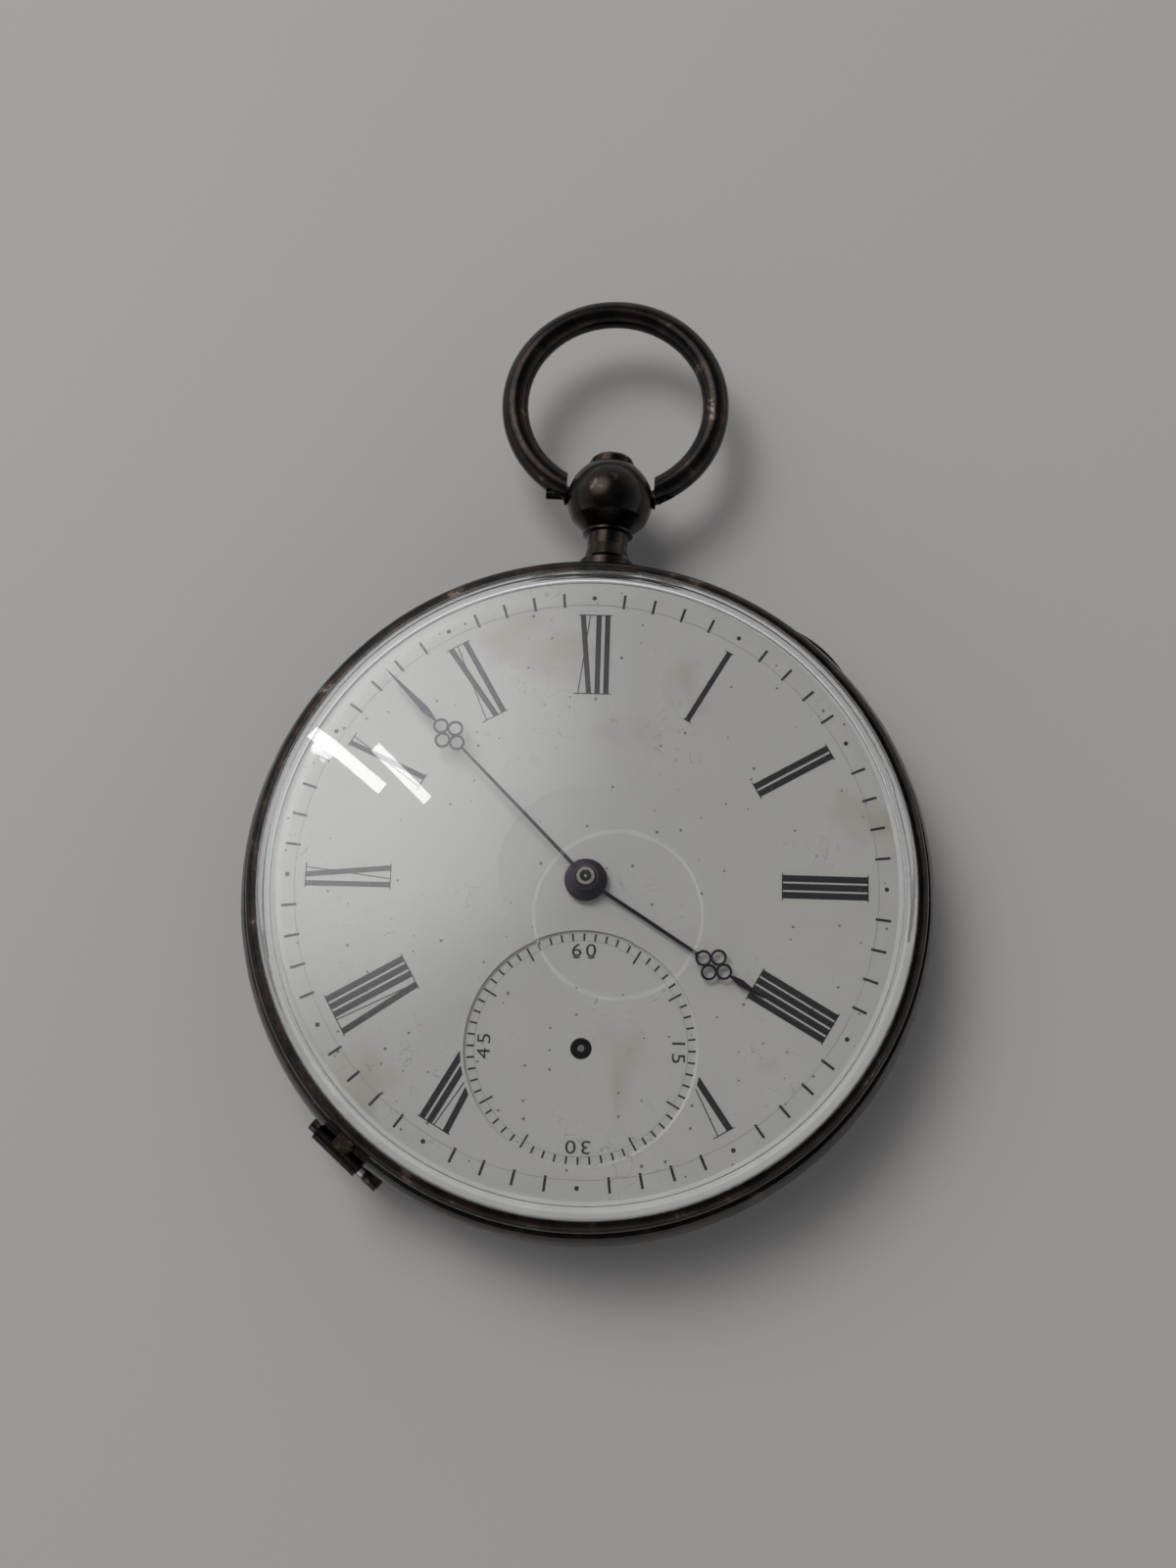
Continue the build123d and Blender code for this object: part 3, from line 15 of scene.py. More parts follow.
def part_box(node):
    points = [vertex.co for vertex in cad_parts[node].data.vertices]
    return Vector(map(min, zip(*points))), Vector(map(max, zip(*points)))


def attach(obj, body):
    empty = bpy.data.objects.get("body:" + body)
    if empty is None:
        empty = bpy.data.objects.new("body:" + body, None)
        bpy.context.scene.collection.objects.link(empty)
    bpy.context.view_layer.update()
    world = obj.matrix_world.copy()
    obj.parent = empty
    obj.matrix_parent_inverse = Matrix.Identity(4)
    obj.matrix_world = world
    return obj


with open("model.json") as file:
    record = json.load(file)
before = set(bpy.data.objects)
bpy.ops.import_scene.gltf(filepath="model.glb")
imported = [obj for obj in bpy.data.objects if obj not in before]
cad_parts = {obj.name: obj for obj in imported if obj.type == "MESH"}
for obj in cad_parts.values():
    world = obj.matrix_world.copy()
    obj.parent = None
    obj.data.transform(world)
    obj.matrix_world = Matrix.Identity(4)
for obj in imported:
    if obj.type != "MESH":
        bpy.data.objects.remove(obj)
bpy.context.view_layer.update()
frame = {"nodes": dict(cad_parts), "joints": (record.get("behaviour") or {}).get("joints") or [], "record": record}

MM = 0.001
nodes = frame["nodes"]
joints = {joint["name"]: joint for joint in frame["joints"]}


# ---- sizes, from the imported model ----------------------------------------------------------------
def top(node):
    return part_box(node)[1].z / MM


def low(node):
    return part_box(node)[0].z / MM


def pivot(joint):
    """A joint's place in mm."""
    return Vector(joints[joint]["pos_m"]) / MM


DIAL_TURN = degrees(atan2(pivot("seconds_turn").x, -pivot("seconds_turn").y))
Z_FACE = top("dial")
Z_SMALL_FACE = top("seconds_dial")
SMALL_OUT = hypot(pivot("seconds_turn").x, pivot("seconds_turn").y)
SMALL_R = (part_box("seconds_dial")[1].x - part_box("seconds_dial")[0].x) / 2 / MM

# printing on the dial: radii, widths and heights
INK_T = 0.012            # how thick the fired paint stands
HAIRLINE = 0.045         # width of the faint circles
TRACK_LINE = 18.86       # the faint circle through the minute ticks
TICK_START, TICK_END, TICK_W = 18.72, 19.72, 0.17
DOT_AT, DOT_R = 19.36, 0.15
NUMERAL_FOOT, NUMERAL_HEAD = 12.61, 18.14
THIN = 0.07              # thin strokes and serifs
SERIF_OUT = 0.12
SMALL_LINE = 6.75        # the faint circle at the inner ends of the seconds ticks
SMALL_FIVE = 6.305       # inner ends of the long ticks, between the numbers
SMALL_END, SMALL_TICK_W = 7.236, 0.12
SMALL_KEPT_CLEAR = 0.2   # numerals stop this far outside the small dial
DIGIT_AT, DIGIT_H = 6.1, 0.84
DIGIT_WIDE, DIGIT_SPACE = 1.25, 1.25
CAPITAL = 0.7            # height of a digit over the size of its type

# turned pieces
SKIN = 0.004             # how far a rim laid on the enamel stands above it
RIM_IN, RIM_OUT = SMALL_R - 0.22, SMALL_R + 0.4
RIM_STEPS = 8
LINING_IN, LINING_OUT = 20.6, 21.42
BOSS_R, PIPE_R = 1.4, 0.78
COLLAR_R, COLLAR_BORE = 0.86, 0.5
BUSH_R, BUSH_BORE = 0.57, 0.35
# radius of the black disc of painted shade in the bore, and of the arbor's polished tip
BORE_SHADE_R, TIP_R = 0.36, 0.1
LUG_IN, LUG_OUT, LUG_R = 2.7, 3.2, 0.72

TABLE_HALF = 1.5         # metres
CAMERA_AT = (3.404, -23.441, 125.879)
CAMERA_TURN = (14.371, 0.932, 3.314)


# ---- small tools ---------------------------------------------------------------------------------
def linear(code):
    """An sRGB hex colour as linear RGBA."""
    parts = [int(code[i:i + 2], 16) / 255 for i in (1, 3, 5)]
    return [p / 12.92 if p <= 0.04045 else ((p + 0.055) / 1.055) ** 2.4 for p in parts] + [1.0]


def add(tree, kind, inputs=None, **settings):
    """Adds a node with its settings; an input is a value or a (node, output) link."""
    made = tree.nodes.new(kind)
    for name, value in settings.items():
        setattr(made, name, value)
    for name, value in (inputs or {}).items():
        if isinstance(value, tuple) and isinstance(value[0], bpy.types.Node):
            tree.links.new(value[0].outputs[value[1]], made.inputs[name])
        else:
            made.inputs[name].default_value = value
    return made


def blank(name):
    """A material with nothing but its output, and its tree."""
    made = bpy.data.materials.new(name)
    made.use_nodes = True
    made.node_tree.nodes.clear()
    return made, made.node_tree


def finish_material(tree, surface):
    add(tree, "ShaderNodeOutputMaterial", {"Surface": surface})


def per_metre(size_mm):
    """The scale of a pattern whose features are about this many millimetres across."""
    return 1 / (size_mm * MM)


def as_piece(name, bm, body, material, smooth_angle=35):
    """Makes an object of a finished bmesh, smooth up to an angle between faces."""
    mesh = bpy.data.meshes.new(name)
    bm.to_mesh(mesh)
    bm.free()
    mesh.polygons.foreach_set("use_smooth", [True] * len(mesh.polygons))
    mesh.set_sharp_from_angle(angle=radians(smooth_angle))
    piece = bpy.data.objects.new(name, mesh)
    bpy.context.scene.collection.objects.link(piece)
    mesh.materials.append(material)
    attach(piece, body)


def clock(angle, radius):
    """The point at a clock angle and a radius, in mm."""
    return Vector((radius * sin(radians(angle)), radius * cos(radians(angle)), 0))


# ---- materials -----------------------------------------------------------------------------------
def tarnished_silver():
    """Silver, spun and hand polished, under a thick old sulphide tarnish. The eye sees almost black,
    brown to grey patches where it is thin, and a glassy shine over fine pits."""
    made, tree = blank("silver_tarnished")
    place = add(tree, "ShaderNodeTexCoord")
    patch = add(tree, "ShaderNodeTexNoise", {
        "Vector": (place, "Object"), "Scale": per_metre(2.2), "Detail": 7.0, "Roughness": 0.66})
    tint = add(tree, "ShaderNodeValToRGB", {"Fac": (patch, "Fac")})
    stops = tint.color_ramp.elements
    stops[0].position, stops[0].color = 0.42, linear("#0d0b0a")
    stops[1].position, stops[1].color = 0.74, linear("#7d7267")
    brown = stops.new(0.6)
    brown.color = linear("#2b2019")
    speck = add(tree, "ShaderNodeTexNoise", {
        "Vector": (place, "Object"), "Scale": per_metre(0.3), "Detail": 3.0, "Roughness": 0.6})
    rough = add(tree, "ShaderNodeMapRange", {
        "Value": (patch, "Fac"), "From Min": 0.35, "From Max": 0.7, "To Min": 0.34, "To Max": 0.2})
    pits = add(tree, "ShaderNodeBump", {
        "Height": (speck, "Fac"), "Strength": 0.3, "Distance": 0.02 * MM})
    metal = add(tree, "ShaderNodeBsdfPrincipled", {
        "Base Color": (tint, "Color"), "Metallic": 1.0, "Roughness": (rough, "Result"),
        "Coat Weight": 0.3, "Coat Roughness": 0.12, "Normal": (pits, "Normal")})
    finish_material(tree, (metal, "BSDF"))
    return made


def two_tone(name, light, dark, grain_mm, roughness, bump=0.15, metallic=1.0):
    """A surface whose colour drifts a little between two tones, with a fine grain: a metal, unless
    metallic is 0."""
    made, tree = blank(name)
    place = add(tree, "ShaderNodeTexCoord")
    drift = add(tree, "ShaderNodeTexNoise", {
        "Vector": (place, "Object"), "Scale": per_metre(3.0), "Detail": 4.0})
    tint = add(tree, "ShaderNodeMix", {
        "Factor": (drift, "Fac"), "A": linear(dark), "B": linear(light)}, data_type="RGBA")
    grain = add(tree, "ShaderNodeTexNoise", {
        "Vector": (place, "Object"), "Scale": per_metre(grain_mm), "Detail": 2.0})
    ground = add(tree, "ShaderNodeBump", {
        "Height": (grain, "Fac"), "Strength": bump, "Distance": 0.01 * MM})
    metal = add(tree, "ShaderNodeBsdfPrincipled", {
        "Base Color": (tint, "Result"), "Metallic": metallic, "Roughness": roughness,
        "Normal": (ground, "Normal")})
    finish_material(tree, (metal, "BSDF"))
    return made


def enamel():
    """White vitreous enamel, fired on copper and polished. The eye sees a glossy white, a little grey
    with age, with pin holes that hold dirt, faint brown stains and fine scratches."""
    made, tree = blank("enamel_fired_white")
    place = add(tree, "ShaderNodeTexCoord")
    cloud = add(tree, "ShaderNodeTexNoise", {
        "Vector": (place, "Object"), "Scale": per_metre(7.0), "Detail": 4.0, "Roughness": 0.6})
    ground = add(tree, "ShaderNodeMix", {
        "Factor": (cloud, "Fac"), "A": linear("#b8b5b0"), "B": linear("#c3c0bb")}, data_type="RGBA")
    stain = add(tree, "ShaderNodeTexNoise", {
        "Vector": (place, "Object"), "Scale": per_metre(9.0), "Detail": 3.0, "Distortion": 0.4})
    stained = add(tree, "ShaderNodeMapRange", {
        "Value": (stain, "Fac"), "From Min": 0.62, "From Max": 0.76, "To Max": 0.4})
    browned = add(tree, "ShaderNodeMix", {
        "Factor": (stained, "Result"), "A": (ground, "Result"), "B": linear("#93836b")},
        data_type="RGBA")
    holes = add(tree, "ShaderNodeTexVoronoi", {
        "Vector": (place, "Object"), "Scale": per_metre(1.5), "Randomness": 1.0},
        voronoi_dimensions="2D")
    size = add(tree, "ShaderNodeSeparateColor", {"Color": (holes, "Color")})
    limit = add(tree, "ShaderNodeMapRange", {
        "Value": (size, "Red"), "From Min": 0.62, "To Min": 0.0, "To Max": 0.075})
    hole = add(tree, "ShaderNodeMath", {
        0: (holes, "Distance"), 1: (limit, "Result")}, operation="LESS_THAN")
    dirty = add(tree, "ShaderNodeMath", {0: (hole, "Value"), 1: 0.7}, operation="MULTIPLY")
    dotted = add(tree, "ShaderNodeMix", {
        "Factor": (dirty, "Value"), "A": (browned, "Result"), "B": linear("#4c453e")}, data_type="RGBA")
    streak = add(tree, "ShaderNodeTexNoise", {
        "Vector": (place, "Object"), "Scale": per_metre(2.5), "Detail": 2.0, "Distortion": 1.5})
    away = add(tree, "ShaderNodeMath", {0: (streak, "Fac"), 1: 0.5}, operation="SUBTRACT")
    near = add(tree, "ShaderNodeMath", {0: (away, "Value")}, operation="ABSOLUTE")
    line = add(tree, "ShaderNodeMath", {0: (near, "Value"), 1: 0.004}, operation="LESS_THAN")
    spread = add(tree, "ShaderNodeMapRange", {
        "Value": (cloud, "Fac"), "From Min": 0.5, "From Max": 0.6, "To Max": 0.4})
    scratch = add(tree, "ShaderNodeMath", {
        0: (line, "Value"), 1: (spread, "Result")}, operation="MULTIPLY")
    scratched = add(tree, "ShaderNodeMix", {
        "Factor": (scratch, "Value"), "A": (dotted, "Result"), "B": linear("#6e6a64")}, data_type="RGBA")
    face = add(tree, "ShaderNodeBsdfPrincipled", {
        "Base Color": (scratched, "Result"), "Roughness": 0.16, "IOR": 1.5, "Specular IOR Level": 0.4})
    finish_material(tree, (face, "BSDF"))
    return made


def painted_black():
    """Black enamel, painted by hand and fired. The eye sees a blue-black, worn to grey in small spots."""
    made, tree = blank("enamel_fired_black")
    place = add(tree, "ShaderNodeTexCoord")
    wear = add(tree, "ShaderNodeTexNoise", {
        "Vector": (place, "Object"), "Scale": per_metre(0.32), "Detail": 4.0, "Roughness": 0.7})
    pale_mark = add(tree, "ShaderNodeMapRange", {
        "Value": (wear, "Fac"), "From Min": 0.6, "From Max": 0.76, "To Max": 0.6})
    tint = add(tree, "ShaderNodeMix", {
        "Factor": (pale_mark, "Result"), "A": linear("#121317"), "B": linear("#7f7e80")}, data_type="RGBA")
    face = add(tree, "ShaderNodeBsdfPrincipled", {"Base Color": (tint, "Result"), "Roughness": 0.32})
    finish_material(tree, (face, "BSDF"))
    return made


def gilt_with_painted_shade():
    """Fire gilt brass. The eye sees a soft yellow. Round the seconds arbor, which shows through the small dial's
    hole, it is painted black: painted shade for the dark of that deep hole."""
    made = two_tone("brass_fire_gilt_painted_shade", "#d9b25c", "#b38a3c", 0.12, 0.38)
    tree = made.node_tree
    metal = next(node for node in tree.nodes if node.type == "BSDF_PRINCIPLED")
    gilt = metal.inputs["Base Color"].links[0].from_node
    place = add(tree, "ShaderNodeTexCoord")
    # painted shade: black on the plate within 1 to 1.5 mm of the seconds arbor
    arbor = Vector((pivot("seconds_turn").x, pivot("seconds_turn").y, top("main_plate"))) * MM
    away = add(tree, "ShaderNodeVectorMath", {0: (place, "Object"), 1: arbor}, operation="DISTANCE")
    out_of_shade = add(tree, "ShaderNodeMapRange", {
        "Value": (away, "Value"), "From Min": 1.0 * MM, "From Max": 1.5 * MM})
    tint = add(tree, "ShaderNodeMix", {
        "Factor": (out_of_shade, "Result"), "A": linear("#14110e"), "B": (gilt, "Result")}, data_type="RGBA")
    tree.links.new(tint.outputs["Result"], metal.inputs["Base Color"])
    return made


def glass():
    """Watch glass, ground and polished lead glass. The eye sees it clear and a little uneven. A pale off-centre
    ring painted on it is painted light, the bright line that the edge of the glass's flat focuses onto the dial.
    Lamps shine through it unbent, as a shadow's path is straight."""
    made, tree = blank("glass_polished")
    place = add(tree, "ShaderNodeTexCoord")
    wear = add(tree, "ShaderNodeTexNoise", {
        "Vector": (place, "Object"), "Scale": per_metre(1.2), "Detail": 5.0})
    dent = add(tree, "ShaderNodeBump", {
        "Height": (wear, "Fac"), "Strength": 0.03, "Distance": 0.01 * MM})
    pane = add(tree, "ShaderNodeBsdfPrincipled", {
        "Base Color": linear("#f6f7f7"), "Transmission Weight": 1.0, "Roughness": 0.015, "IOR": 1.53,
        "Normal": (dent, "Normal")})
    # painted light: a pale diffuse ring, 5.3 mm round a point off the middle, for the bright line the flat's edge
    # focuses onto the dial
    flat = add(tree, "ShaderNodeVectorMath", {0: (place, "Object"), 1: (1, 1, 0)}, operation="MULTIPLY")
    out = add(tree, "ShaderNodeVectorMath", {
        0: (flat, "Vector"), 1: (2.2 * MM, -2.6 * MM, 0)}, operation="DISTANCE")
    off = add(tree, "ShaderNodeMath", {0: (out, "Value"), 1: 5.3 * MM}, operation="SUBTRACT")
    near = add(tree, "ShaderNodeMath", {0: (off, "Value")}, operation="ABSOLUTE")
    pale_mark = add(tree, "ShaderNodeMapRange", {
        "Value": (near, "Value"), "From Min": 0.02 * MM, "From Max": 0.16 * MM,
        "To Min": 0.06, "To Max": 0.0})
    caustic_paint = add(tree, "ShaderNodeBsdfDiffuse", {"Color": linear("#f4f4f4")})
    surface = add(tree, "ShaderNodeMixShader", {"Fac": (pale_mark, "Result")})
    tree.links.new(pane.outputs["BSDF"], surface.inputs[1])
    tree.links.new(caustic_paint.outputs["BSDF"], surface.inputs[2])
    path = add(tree, "ShaderNodeLightPath")
    straight = add(tree, "ShaderNodeBsdfTransparent", {"Color": linear("#f0f1f1")})
    both = add(tree, "ShaderNodeMixShader", {"Fac": (path, "Is Shadow Ray")})
    tree.links.new(surface.outputs["Shader"], both.inputs[1])
    tree.links.new(straight.outputs["BSDF"], both.inputs[2])
    finish_material(tree, (both, "Shader"))
    return made


looks = {
    "tarnished_silver": tarnished_silver(),
    # silver, kept bright inside the case: a warm white with a soft shine
    "bright_silver": two_tone("silver_polished", "#c9c4bb", "#8d867c", 0.4, 0.22),
    # brass gilt with mercury: a matt, fine-grained yellow
    "gilt_brass": two_tone("brass_fire_gilt", "#d9b25c", "#b38a3c", 0.12, 0.38),
    # polished brass, a little browned
    "wheel_brass": two_tone("brass_polished", "#d8b56a", "#a9843f", 0.2, 0.25),
    # polished steel: neutral grey
    "polished_steel": two_tone("steel_polished", "#a9a9ab", "#7c7b7d", 0.2, 0.22),
    # steel blued by heat, faded to a dark purple
    "blued_steel": two_tone("steel_blued_purple", "#372c40", "#1a1620", 0.25, 0.34),
    "enamel": enamel(),
    # bare copper: a dull orange brown
    "copper": two_tone("copper_plain", "#b9744e", "#8a5236", 0.3, 0.35),
    # polished ruby: a deep glossy red
    "ruby": two_tone("ruby_polished", "#8a1030", "#6a0c24", 0.5, 0.08, 0.0, 0.0),
    "crystal_glass": glass(),
}
silver = looks["tarnished_silver"]
ink = painted_black()
# the same paint where it is rubbed nearly away: a pale grey line
faint_ink = two_tone("enamel_fired_grey_worn", "#8f8c89", "#a3a09c", 0.5, 0.3, 0.1, 0.0)
# a matt black disc across the bore at the setting arbor's end: painted shade, the dark of the hole
bore_shade_black = two_tone("black_painted_bore_shade", "#17130f", "#0b0908", 0.3, 0.75, 0.1, 0.0)
# the bezel's inner silver edge in a matt near-white: painted light, standing for the light that the foot of the
# glass focuses and bends onto it
lining_painted_light = two_tone("silver_edge_painted_light", "#d9d6d0", "#bdbab4", 0.3, 0.5, 0.1, 0.0)

slot_of = {part["node"]: part["material_slot"] for part in frame["record"]["subparts"]}
for name, node in nodes.items():
    node.data.materials.clear()
    node.data.materials.append(looks[slot_of[name]])
# the main plate's gilt, with painted shade round the seconds arbor
nodes["main_plate"].data.materials[0] = gilt_with_painted_shade()
for name in ("bow_screw", "bezel_hinge_pin", "back_hinge_pin"):
    nodes[name].data.materials[0] = silver


# ---- printing on the dial ------------------------------------------------------------------------
def on_dial(height, outwards=0.0):
    """Places what is drawn about the origin on the dial, or on the small seconds dial."""
    turn = Matrix.Rotation(radians(DIAL_TURN), 4, "Z")
    return turn @ Matrix.Translation(Vector((0, -outwards, height)) * MM)


def stroke(bm, foot, head, width, turn=0.0, keep_off=None):
    """A flat stroke with its ends square to the radius, from (x, y) to (x, y) in mm, turned clockwise.
    Each side of it starts outside the circle keep_off, of a centre and a radius."""
    spin = Matrix.Rotation(-radians(turn), 4, "Z")
    sides = []
    for out in (-width / 2, width / 2):
        start, end = (spin @ Vector((x + out, y, 0)) for x, y in (foot, head))
        if keep_off:
            start = outside(start, end, *keep_off)
        sides.append((start * MM, end * MM))
    (low_left, high_left), (low_right, high_right) = sides
    bm.faces.new([bm.verts.new(point) for point in (low_left, low_right, high_right, high_left)])


def outside(start, end, centre, radius):
    """Where a line from start to end leaves a circle, or its start if that is outside."""
    along, away = (end - start).normalized(), start - centre
    if away.length > radius:
        return start
    half = along.dot(away)
    return start + along * (-half + sqrt(half**2 - away.length_squared + radius**2))


def ring(bm, radius, width, steps=240):
    """A flat ring."""
    inner = bmesh.ops.create_circle(bm, segments=steps, radius=(radius - width / 2) * MM)["verts"]
    edges = list({edge for vert in inner for edge in vert.link_edges})
    grown = bmesh.ops.extrude_edge_only(bm, edges=edges)["geom"]
    verts = [part for part in grown if isinstance(part, bmesh.types.BMVert)]
    share = (radius + width / 2) / (radius - width / 2)
    bmesh.ops.scale(bm, vec=(share, share, 1), verts=verts)


def inked(name, bm, place, material=ink):
    """Gives flat strokes their thickness and puts them on a dial."""
    bmesh.ops.recalc_face_normals(bm, faces=bm.faces)
    flat = [face for face in bm.faces if face.normal.z < 0]
    bmesh.ops.reverse_faces(bm, faces=flat)
    base = list(bm.faces)
    raised = bmesh.ops.extrude_face_region(bm, geom=base)["geom"]
    verts = [part for part in raised if isinstance(part, bmesh.types.BMVert)]
    bmesh.ops.translate(bm, vec=(0, 0, INK_T * MM), verts=verts)
    bmesh.ops.recalc_face_normals(bm, faces=bm.faces)
    bm.transform(place)
    as_piece(name, bm, "case", material)


def minute_track():
    """A tick for each minute, a dot for each fifth one, and a faint circle through them."""
    bm = bmesh.new()
    for minute in range(60):
        if minute % 5:
            stroke(bm, (0, TICK_START), (0, TICK_END), TICK_W, 6 * minute)
        else:
            place = Matrix.Translation(clock(6 * minute, DOT_AT) * MM)
            bmesh.ops.create_circle(bm, cap_ends=True, segments=20, radius=DOT_R * MM, matrix=place)
    inked("minute_track", bm, on_dial(Z_FACE))
    circle = bmesh.new()
    ring(circle, TRACK_LINE, HAIRLINE)
    inked("minute_circle", circle, on_dial(Z_FACE), faint_ink)


# a numeral's letters, the width of its thick strokes and the step from letter to letter
NUMERALS = [
    ("XII", 0.35, 0.58), ("I", 0.36, 0.58), ("II", 0.42, 0.56), ("III", 0.43, 0.55),
    ("IIII", 0.43, 0.55), ("V", 0.42, 0.56), None, ("VII", 0.41, 0.55),
    ("VIII", 0.41, 0.55), ("IX", 0.35, 0.58), ("X", 0.35, 0.58), ("XI", 0.37, 0.58),
]
CUT_SHORT = (150, 210)   # where the small dial cuts off V and VII
# foot of the thick stroke, head and foot of the thin one, and the letter's own width
V_SHAPE = (0.43, 0.85, 0.52, 0.66)
X_SHAPE = (0.52, 0.49, -0.19, 0.49)


def letter_strokes(letter, at, width, step):
    """A letter's strokes as (head x, foot x, width), and where the next letter starts."""
    if letter == "I":
        return [(at, at, width)], at + step
    foot, thin_head, thin_foot, wide = V_SHAPE if letter == "V" else X_SHAPE
    return [(at, at + foot, width), (at + thin_head, at + thin_foot, THIN)], at + wide + step


def numeral(bm, letters, width, step, turn):
    """A numeral at a clock angle, with its feet to the middle and a serif line at each end."""
    strokes, at = [], 0.0
    for letter in letters:
        more, at = letter_strokes(letter, at, width, step)
        strokes += more
    ends = [x for head, foot, _ in strokes for x in (head, foot)]
    middle = (min(ends) + max(ends)) / 2
    small_dial = (Vector((0, -SMALL_OUT, 0)), SMALL_R + SMALL_KEPT_CLEAR)
    for head, foot, thick in strokes:
        start, end = (foot - middle, NUMERAL_FOOT), (head - middle, NUMERAL_HEAD)
        stroke(bm, start, end, thick, turn, small_dial)
    serif(bm, [head - middle for head, _, _ in strokes], NUMERAL_HEAD, width, turn)
    if turn not in CUT_SHORT:
        serif(bm, [foot - middle for _, foot, _ in strokes], NUMERAL_FOOT, width, turn)


def serif(bm, ends, radius, width, turn):
    """The thin line across the ends of a numeral's strokes."""
    left, right = min(ends) - width / 2 - SERIF_OUT, max(ends) + width / 2 + SERIF_OUT
    centre = (left + right) / 2
    stroke(bm, (centre, radius - THIN / 2), (centre, radius + THIN / 2), right - left, turn)


def numerals():
    bm = bmesh.new()
    for hour, sizes in enumerate(NUMERALS):
        if sizes:
            numeral(bm, *sizes, 30 * hour)
    inked("hour_numerals", bm, on_dial(Z_FACE))


def seconds_track():
    """The small dial's ticks, long at the fives that have no number, and a faint circle."""
    bm = bmesh.new()
    for second in range(60):
        inner = SMALL_FIVE if second % 5 == 0 and second % 15 else SMALL_LINE
        stroke(bm, (0, inner), (0, SMALL_END), SMALL_TICK_W, 6 * second)
    inked("seconds_track", bm, on_dial(Z_SMALL_FACE, SMALL_OUT))
    circle = bmesh.new()
    ring(circle, SMALL_LINE, HAIRLINE, 120)
    inked("seconds_circle", circle, on_dial(Z_SMALL_FACE, SMALL_OUT), faint_ink)


def seconds_numbers():
    """The numbers of the small dial, with their feet towards its middle."""
    bm = bmesh.new()
    for turn, digits in ((0, "60"), (90, "15"), (180, "30"), (270, "45")):
        curve = bpy.data.curves.new("digits", "FONT")
        curve.body, curve.align_x, curve.align_y = digits, "CENTER", "CENTER"
        curve.size, curve.space_character, curve.resolution_u = DIGIT_H / CAPITAL, DIGIT_SPACE, 4
        text = bpy.data.objects.new("digits", curve)
        flat = bpy.data.meshes.new_from_object(text)
        wide = Matrix.Translation((0, DIGIT_AT, 0)) @ Matrix.Diagonal((DIGIT_WIDE, 1, 1, 1))
        flat.transform(Matrix.Rotation(-radians(turn), 4, "Z") @ wide)
        flat.transform(Matrix.Scale(MM, 4))
        bm.from_mesh(flat)
        bpy.data.objects.remove(text)
    bmesh.ops.remove_doubles(bm, verts=bm.verts, dist=0.001 * MM)
    inked("seconds_numbers", bm, on_dial(Z_SMALL_FACE, SMALL_OUT))


minute_track()
numerals()
seconds_track()
seconds_numbers()


# ---- turned pieces -------------------------------------------------------------------------------
def spun(outline, steps=192):
    """A closed outline of (radius, height) points in mm, spun about Z."""
    bm = bmesh.new()
    points = [bm.verts.new(Vector((radius, 0, height)) * MM) for radius, height in outline]
    edges = [bm.edges.new(pair) for pair in zip(points, points[1:] + points[:1])]
    bmesh.ops.spin(bm, geom=points + edges, axis=(0, 0, 1), cent=(0, 0, 0), angle=2 * pi, steps=steps,
                   use_merge=True, use_duplicate=False)
    bmesh.ops.remove_doubles(bm, verts=bm.verts, dist=0.0005 * MM)
    bmesh.ops.recalc_face_normals(bm, faces=bm.faces)
    return bm


def seconds_rim():
    """The soft rim where the small dial's disc is let into the large one: the enamel rounds down."""
    drop = Z_FACE - Z_SMALL_FACE
    slope = []
    for step in range(RIM_STEPS + 1):
        t = step / RIM_STEPS
        slope.append((RIM_IN + (RIM_OUT - RIM_IN) * t, Z_SMALL_FACE + SKIN + drop * t * t * (3 - 2 * t)))
    bm = spun(slope + [(RIM_OUT, Z_SMALL_FACE - 0.1), (RIM_IN, Z_SMALL_FACE - 0.1)], 128)
    bm.transform(on_dial(0, SMALL_OUT))
    as_piece("seconds_dial_rim", bm, "case", looks["enamel"], 70)


def bezel_lining():
    """The bezel's inner edge, whose matt near-white is painted light for the light the foot of the glass focuses
    there; it shows as a white ring through the foot of the glass.
    """
    base, inner_top, outer_top = Z_FACE + 0.006, Z_FACE + 0.02, low("crystal") - 0.01
    outline = [(LINING_IN, base), (LINING_OUT, base), (LINING_OUT, outer_top), (LINING_IN, inner_top)]
    as_piece("bezel_lining", spun(outline), "bezel", lining_painted_light)


def hour_boss():
    """The hour hand's domed round boss, pressed over the pipe of the hour wheel."""
    base, high = low("hour_hand"), top("hour_wheel") + 0.03
    outline = [
        (BOSS_R, base), (BOSS_R, high - 0.16), (BOSS_R - 0.06, high - 0.05), (BOSS_R - 0.22, high),
        (PIPE_R, high), (PIPE_R, base),
    ]
    as_piece("hour_hand_boss", spun(outline, 64), "hour", looks["blued_steel"])


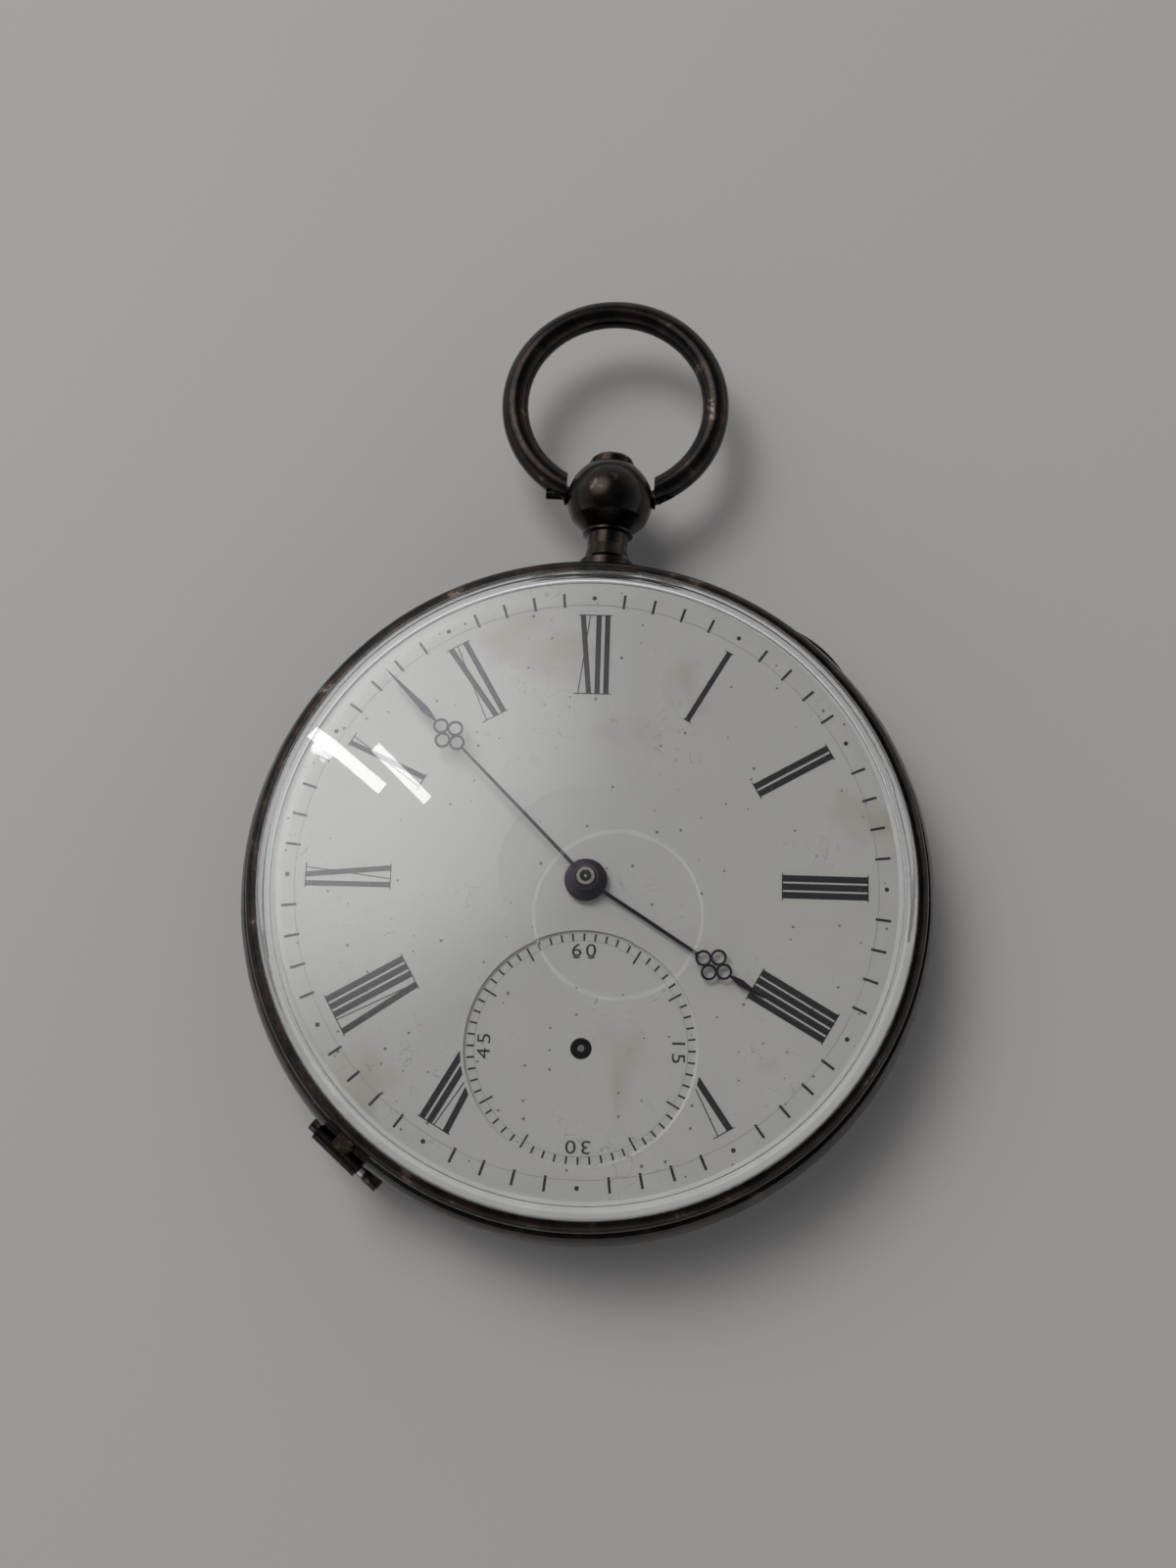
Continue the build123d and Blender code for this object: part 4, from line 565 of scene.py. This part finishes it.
def hand_collar():
    """The minute hand's domed collar on the cannon pinion, its bright bush, and the end of the setting arbor: a
    polished point in a matt black disc, which is painted shade for the dark of the bore."""
    base, seat, end = top("hour_wheel") + 0.06, low("minute_hand"), top("setting_arbor")
    collar = [
        (COLLAR_R - 0.1, base), (COLLAR_R, seat), (COLLAR_R - 0.02, seat + 0.24),
        (COLLAR_BORE + 0.06, end - 0.02), (COLLAR_BORE, end - 0.02), (COLLAR_BORE, base),
    ]
    bush = [
        (BUSH_BORE, seat), (BUSH_R, seat), (BUSH_R, end + 0.06), (BUSH_R - 0.05, end + 0.11),
        (BUSH_BORE + 0.03, end + 0.11), (BUSH_BORE, end + 0.06),
    ]
    # painted shade: a matt black disc across the bore, round the polished tip
    shade_disc = [(0.0, end + 0.012), (BORE_SHADE_R, end + 0.012), (BORE_SHADE_R, end - 0.02), (0.0, end - 0.02)]
    tip = [(0.0, end + 0.07), (TIP_R - 0.04, end + 0.055), (TIP_R, end + 0.01), (0.0, end + 0.01)]
    bright = looks["bright_silver"]
    as_piece("minute_hand_collar", spun(collar, 64), "centre_arbor", looks["blued_steel"])
    as_piece("minute_hand_bush", spun(bush, 64), "centre_arbor", bright)
    as_piece("setting_arbor_bore_shade", spun(shade_disc, 48), "centre_arbor", bore_shade_black)
    as_piece("setting_arbor_tip", spun(tip, 32), "centre_arbor", bright)


def bow_lugs():
    """The rounded ends of the bow, seated in dimples in the ball."""
    outline = [(0.0, LUG_IN), (0.5, LUG_IN), (LUG_R, LUG_OUT - 0.1), (LUG_R, LUG_OUT), (0.0, LUG_OUT)]
    both = bmesh.new()
    for side in (-90, 90):
        bm = spun(outline, 48)
        bm.transform(Matrix.Translation(pivot("bow_swing") * MM) @ Matrix.Rotation(radians(side), 4, "Y"))
        mesh = bpy.data.meshes.new("lug")
        bm.to_mesh(mesh)
        bm.free()
        both.from_mesh(mesh)
        bpy.data.meshes.remove(mesh)
    as_piece("bow_lugs", both, "bow", silver)


bow_lugs()
seconds_rim()
bezel_lining()
hour_boss()
hand_collar()


# ---- floor, lights and camera --------------------------------------------------------------------
def table():
    """A plain table top of matt grey laminate."""
    bm = bmesh.new()
    bmesh.ops.create_grid(bm, x_segments=1, y_segments=1, size=TABLE_HALF)
    mesh = bpy.data.meshes.new("table_top")
    bm.to_mesh(mesh)
    bm.free()
    floor = bpy.data.objects.new("table_top", mesh)
    bpy.context.scene.collection.objects.link(floor)
    made, tree = blank("laminate_matt")
    face = add(tree, "ShaderNodeBsdfPrincipled", {"Base Color": linear("#9e9c9a"), "Roughness": 0.55})
    finish_material(tree, (face, "BSDF"))
    mesh.materials.append(made)


def lamp(name, place, size, power):
    """A white lamp at a place in metres, turned to the watch."""
    light = bpy.data.lights.new(name, "AREA")
    light.shape, light.size, light.size_y = "RECTANGLE", size[0], size[1]
    light.energy = power
    made = bpy.data.objects.new(name, light)
    made.location = place
    made.rotation_euler = (-Vector(place)).to_track_quat("-Z", "Y").to_euler()
    bpy.context.scene.collection.objects.link(made)
    return made


def window():
    """Daylight from up to the left. The glass shows the window as the room's glow and two bright panes,
    so the wide lamp that lights the watch leaves no reflection of its own."""
    lamp("pane_left", (-0.272, 0.221, 0.488), (0.014, 0.1), 0.045)
    lamp("pane_right", (-0.22, 0.212, 0.515), (0.012, 0.09), 0.034)
    daylight = lamp("window_light", (-0.22, 0.26, 0.51), (0.26, 0.26), 1.5)
    daylight.visible_glossy = False
    daylight.visible_transmission = False


def room():
    """A dim room with light walls and a dark ceiling, and the soft glow of the window."""
    world = bpy.data.worlds.new("room")
    bpy.context.scene.world = world
    world.use_nodes = True
    tree = world.node_tree
    place = add(tree, "ShaderNodeTexCoord")
    height = add(tree, "ShaderNodeSeparateXYZ", {"Vector": (place, "Generated")})
    walls = add(tree, "ShaderNodeMapRange", {
        "Value": (height, "Z"), "From Min": 0.0, "From Max": 0.8, "To Min": 1.05, "To Max": 0.12})
    middle = Vector((-0.45, 0.37, 0.82)).normalized()
    towards = add(tree, "ShaderNodeVectorMath", {
        0: (place, "Generated"), 1: middle}, operation="DOT_PRODUCT")
    glow = add(tree, "ShaderNodeMapRange", {
        "Value": (towards, "Value"), "From Min": cos(radians(30)), "From Max": cos(radians(3)),
        "To Min": 0.0, "To Max": 2.6}, interpolation_type="SMOOTHSTEP")
    level = add(tree, "ShaderNodeMath", {0: (walls, "Result"), 1: (glow, "Result")})
    background = tree.nodes["Background"]
    background.inputs["Color"].default_value = linear("#fdfdff")
    tree.links.new(level.outputs["Value"], background.inputs["Strength"])


def camera():
    """Above the watch, a little towards its foot, and turned a little."""
    lens = bpy.data.cameras.new("camera")
    lens.lens, lens.sensor_width, lens.clip_start = 42.4, 36.0, 0.005
    lens.dof.use_dof = False
    made = bpy.data.objects.new("camera", lens)
    made.location = Vector(CAMERA_AT) * MM
    made.rotation_euler = [radians(angle) for angle in CAMERA_TURN]
    bpy.context.scene.collection.objects.link(made)
    bpy.context.scene.camera = made


table()
window()
room()
camera()
bpy.context.scene.view_settings.view_transform = "Standard"
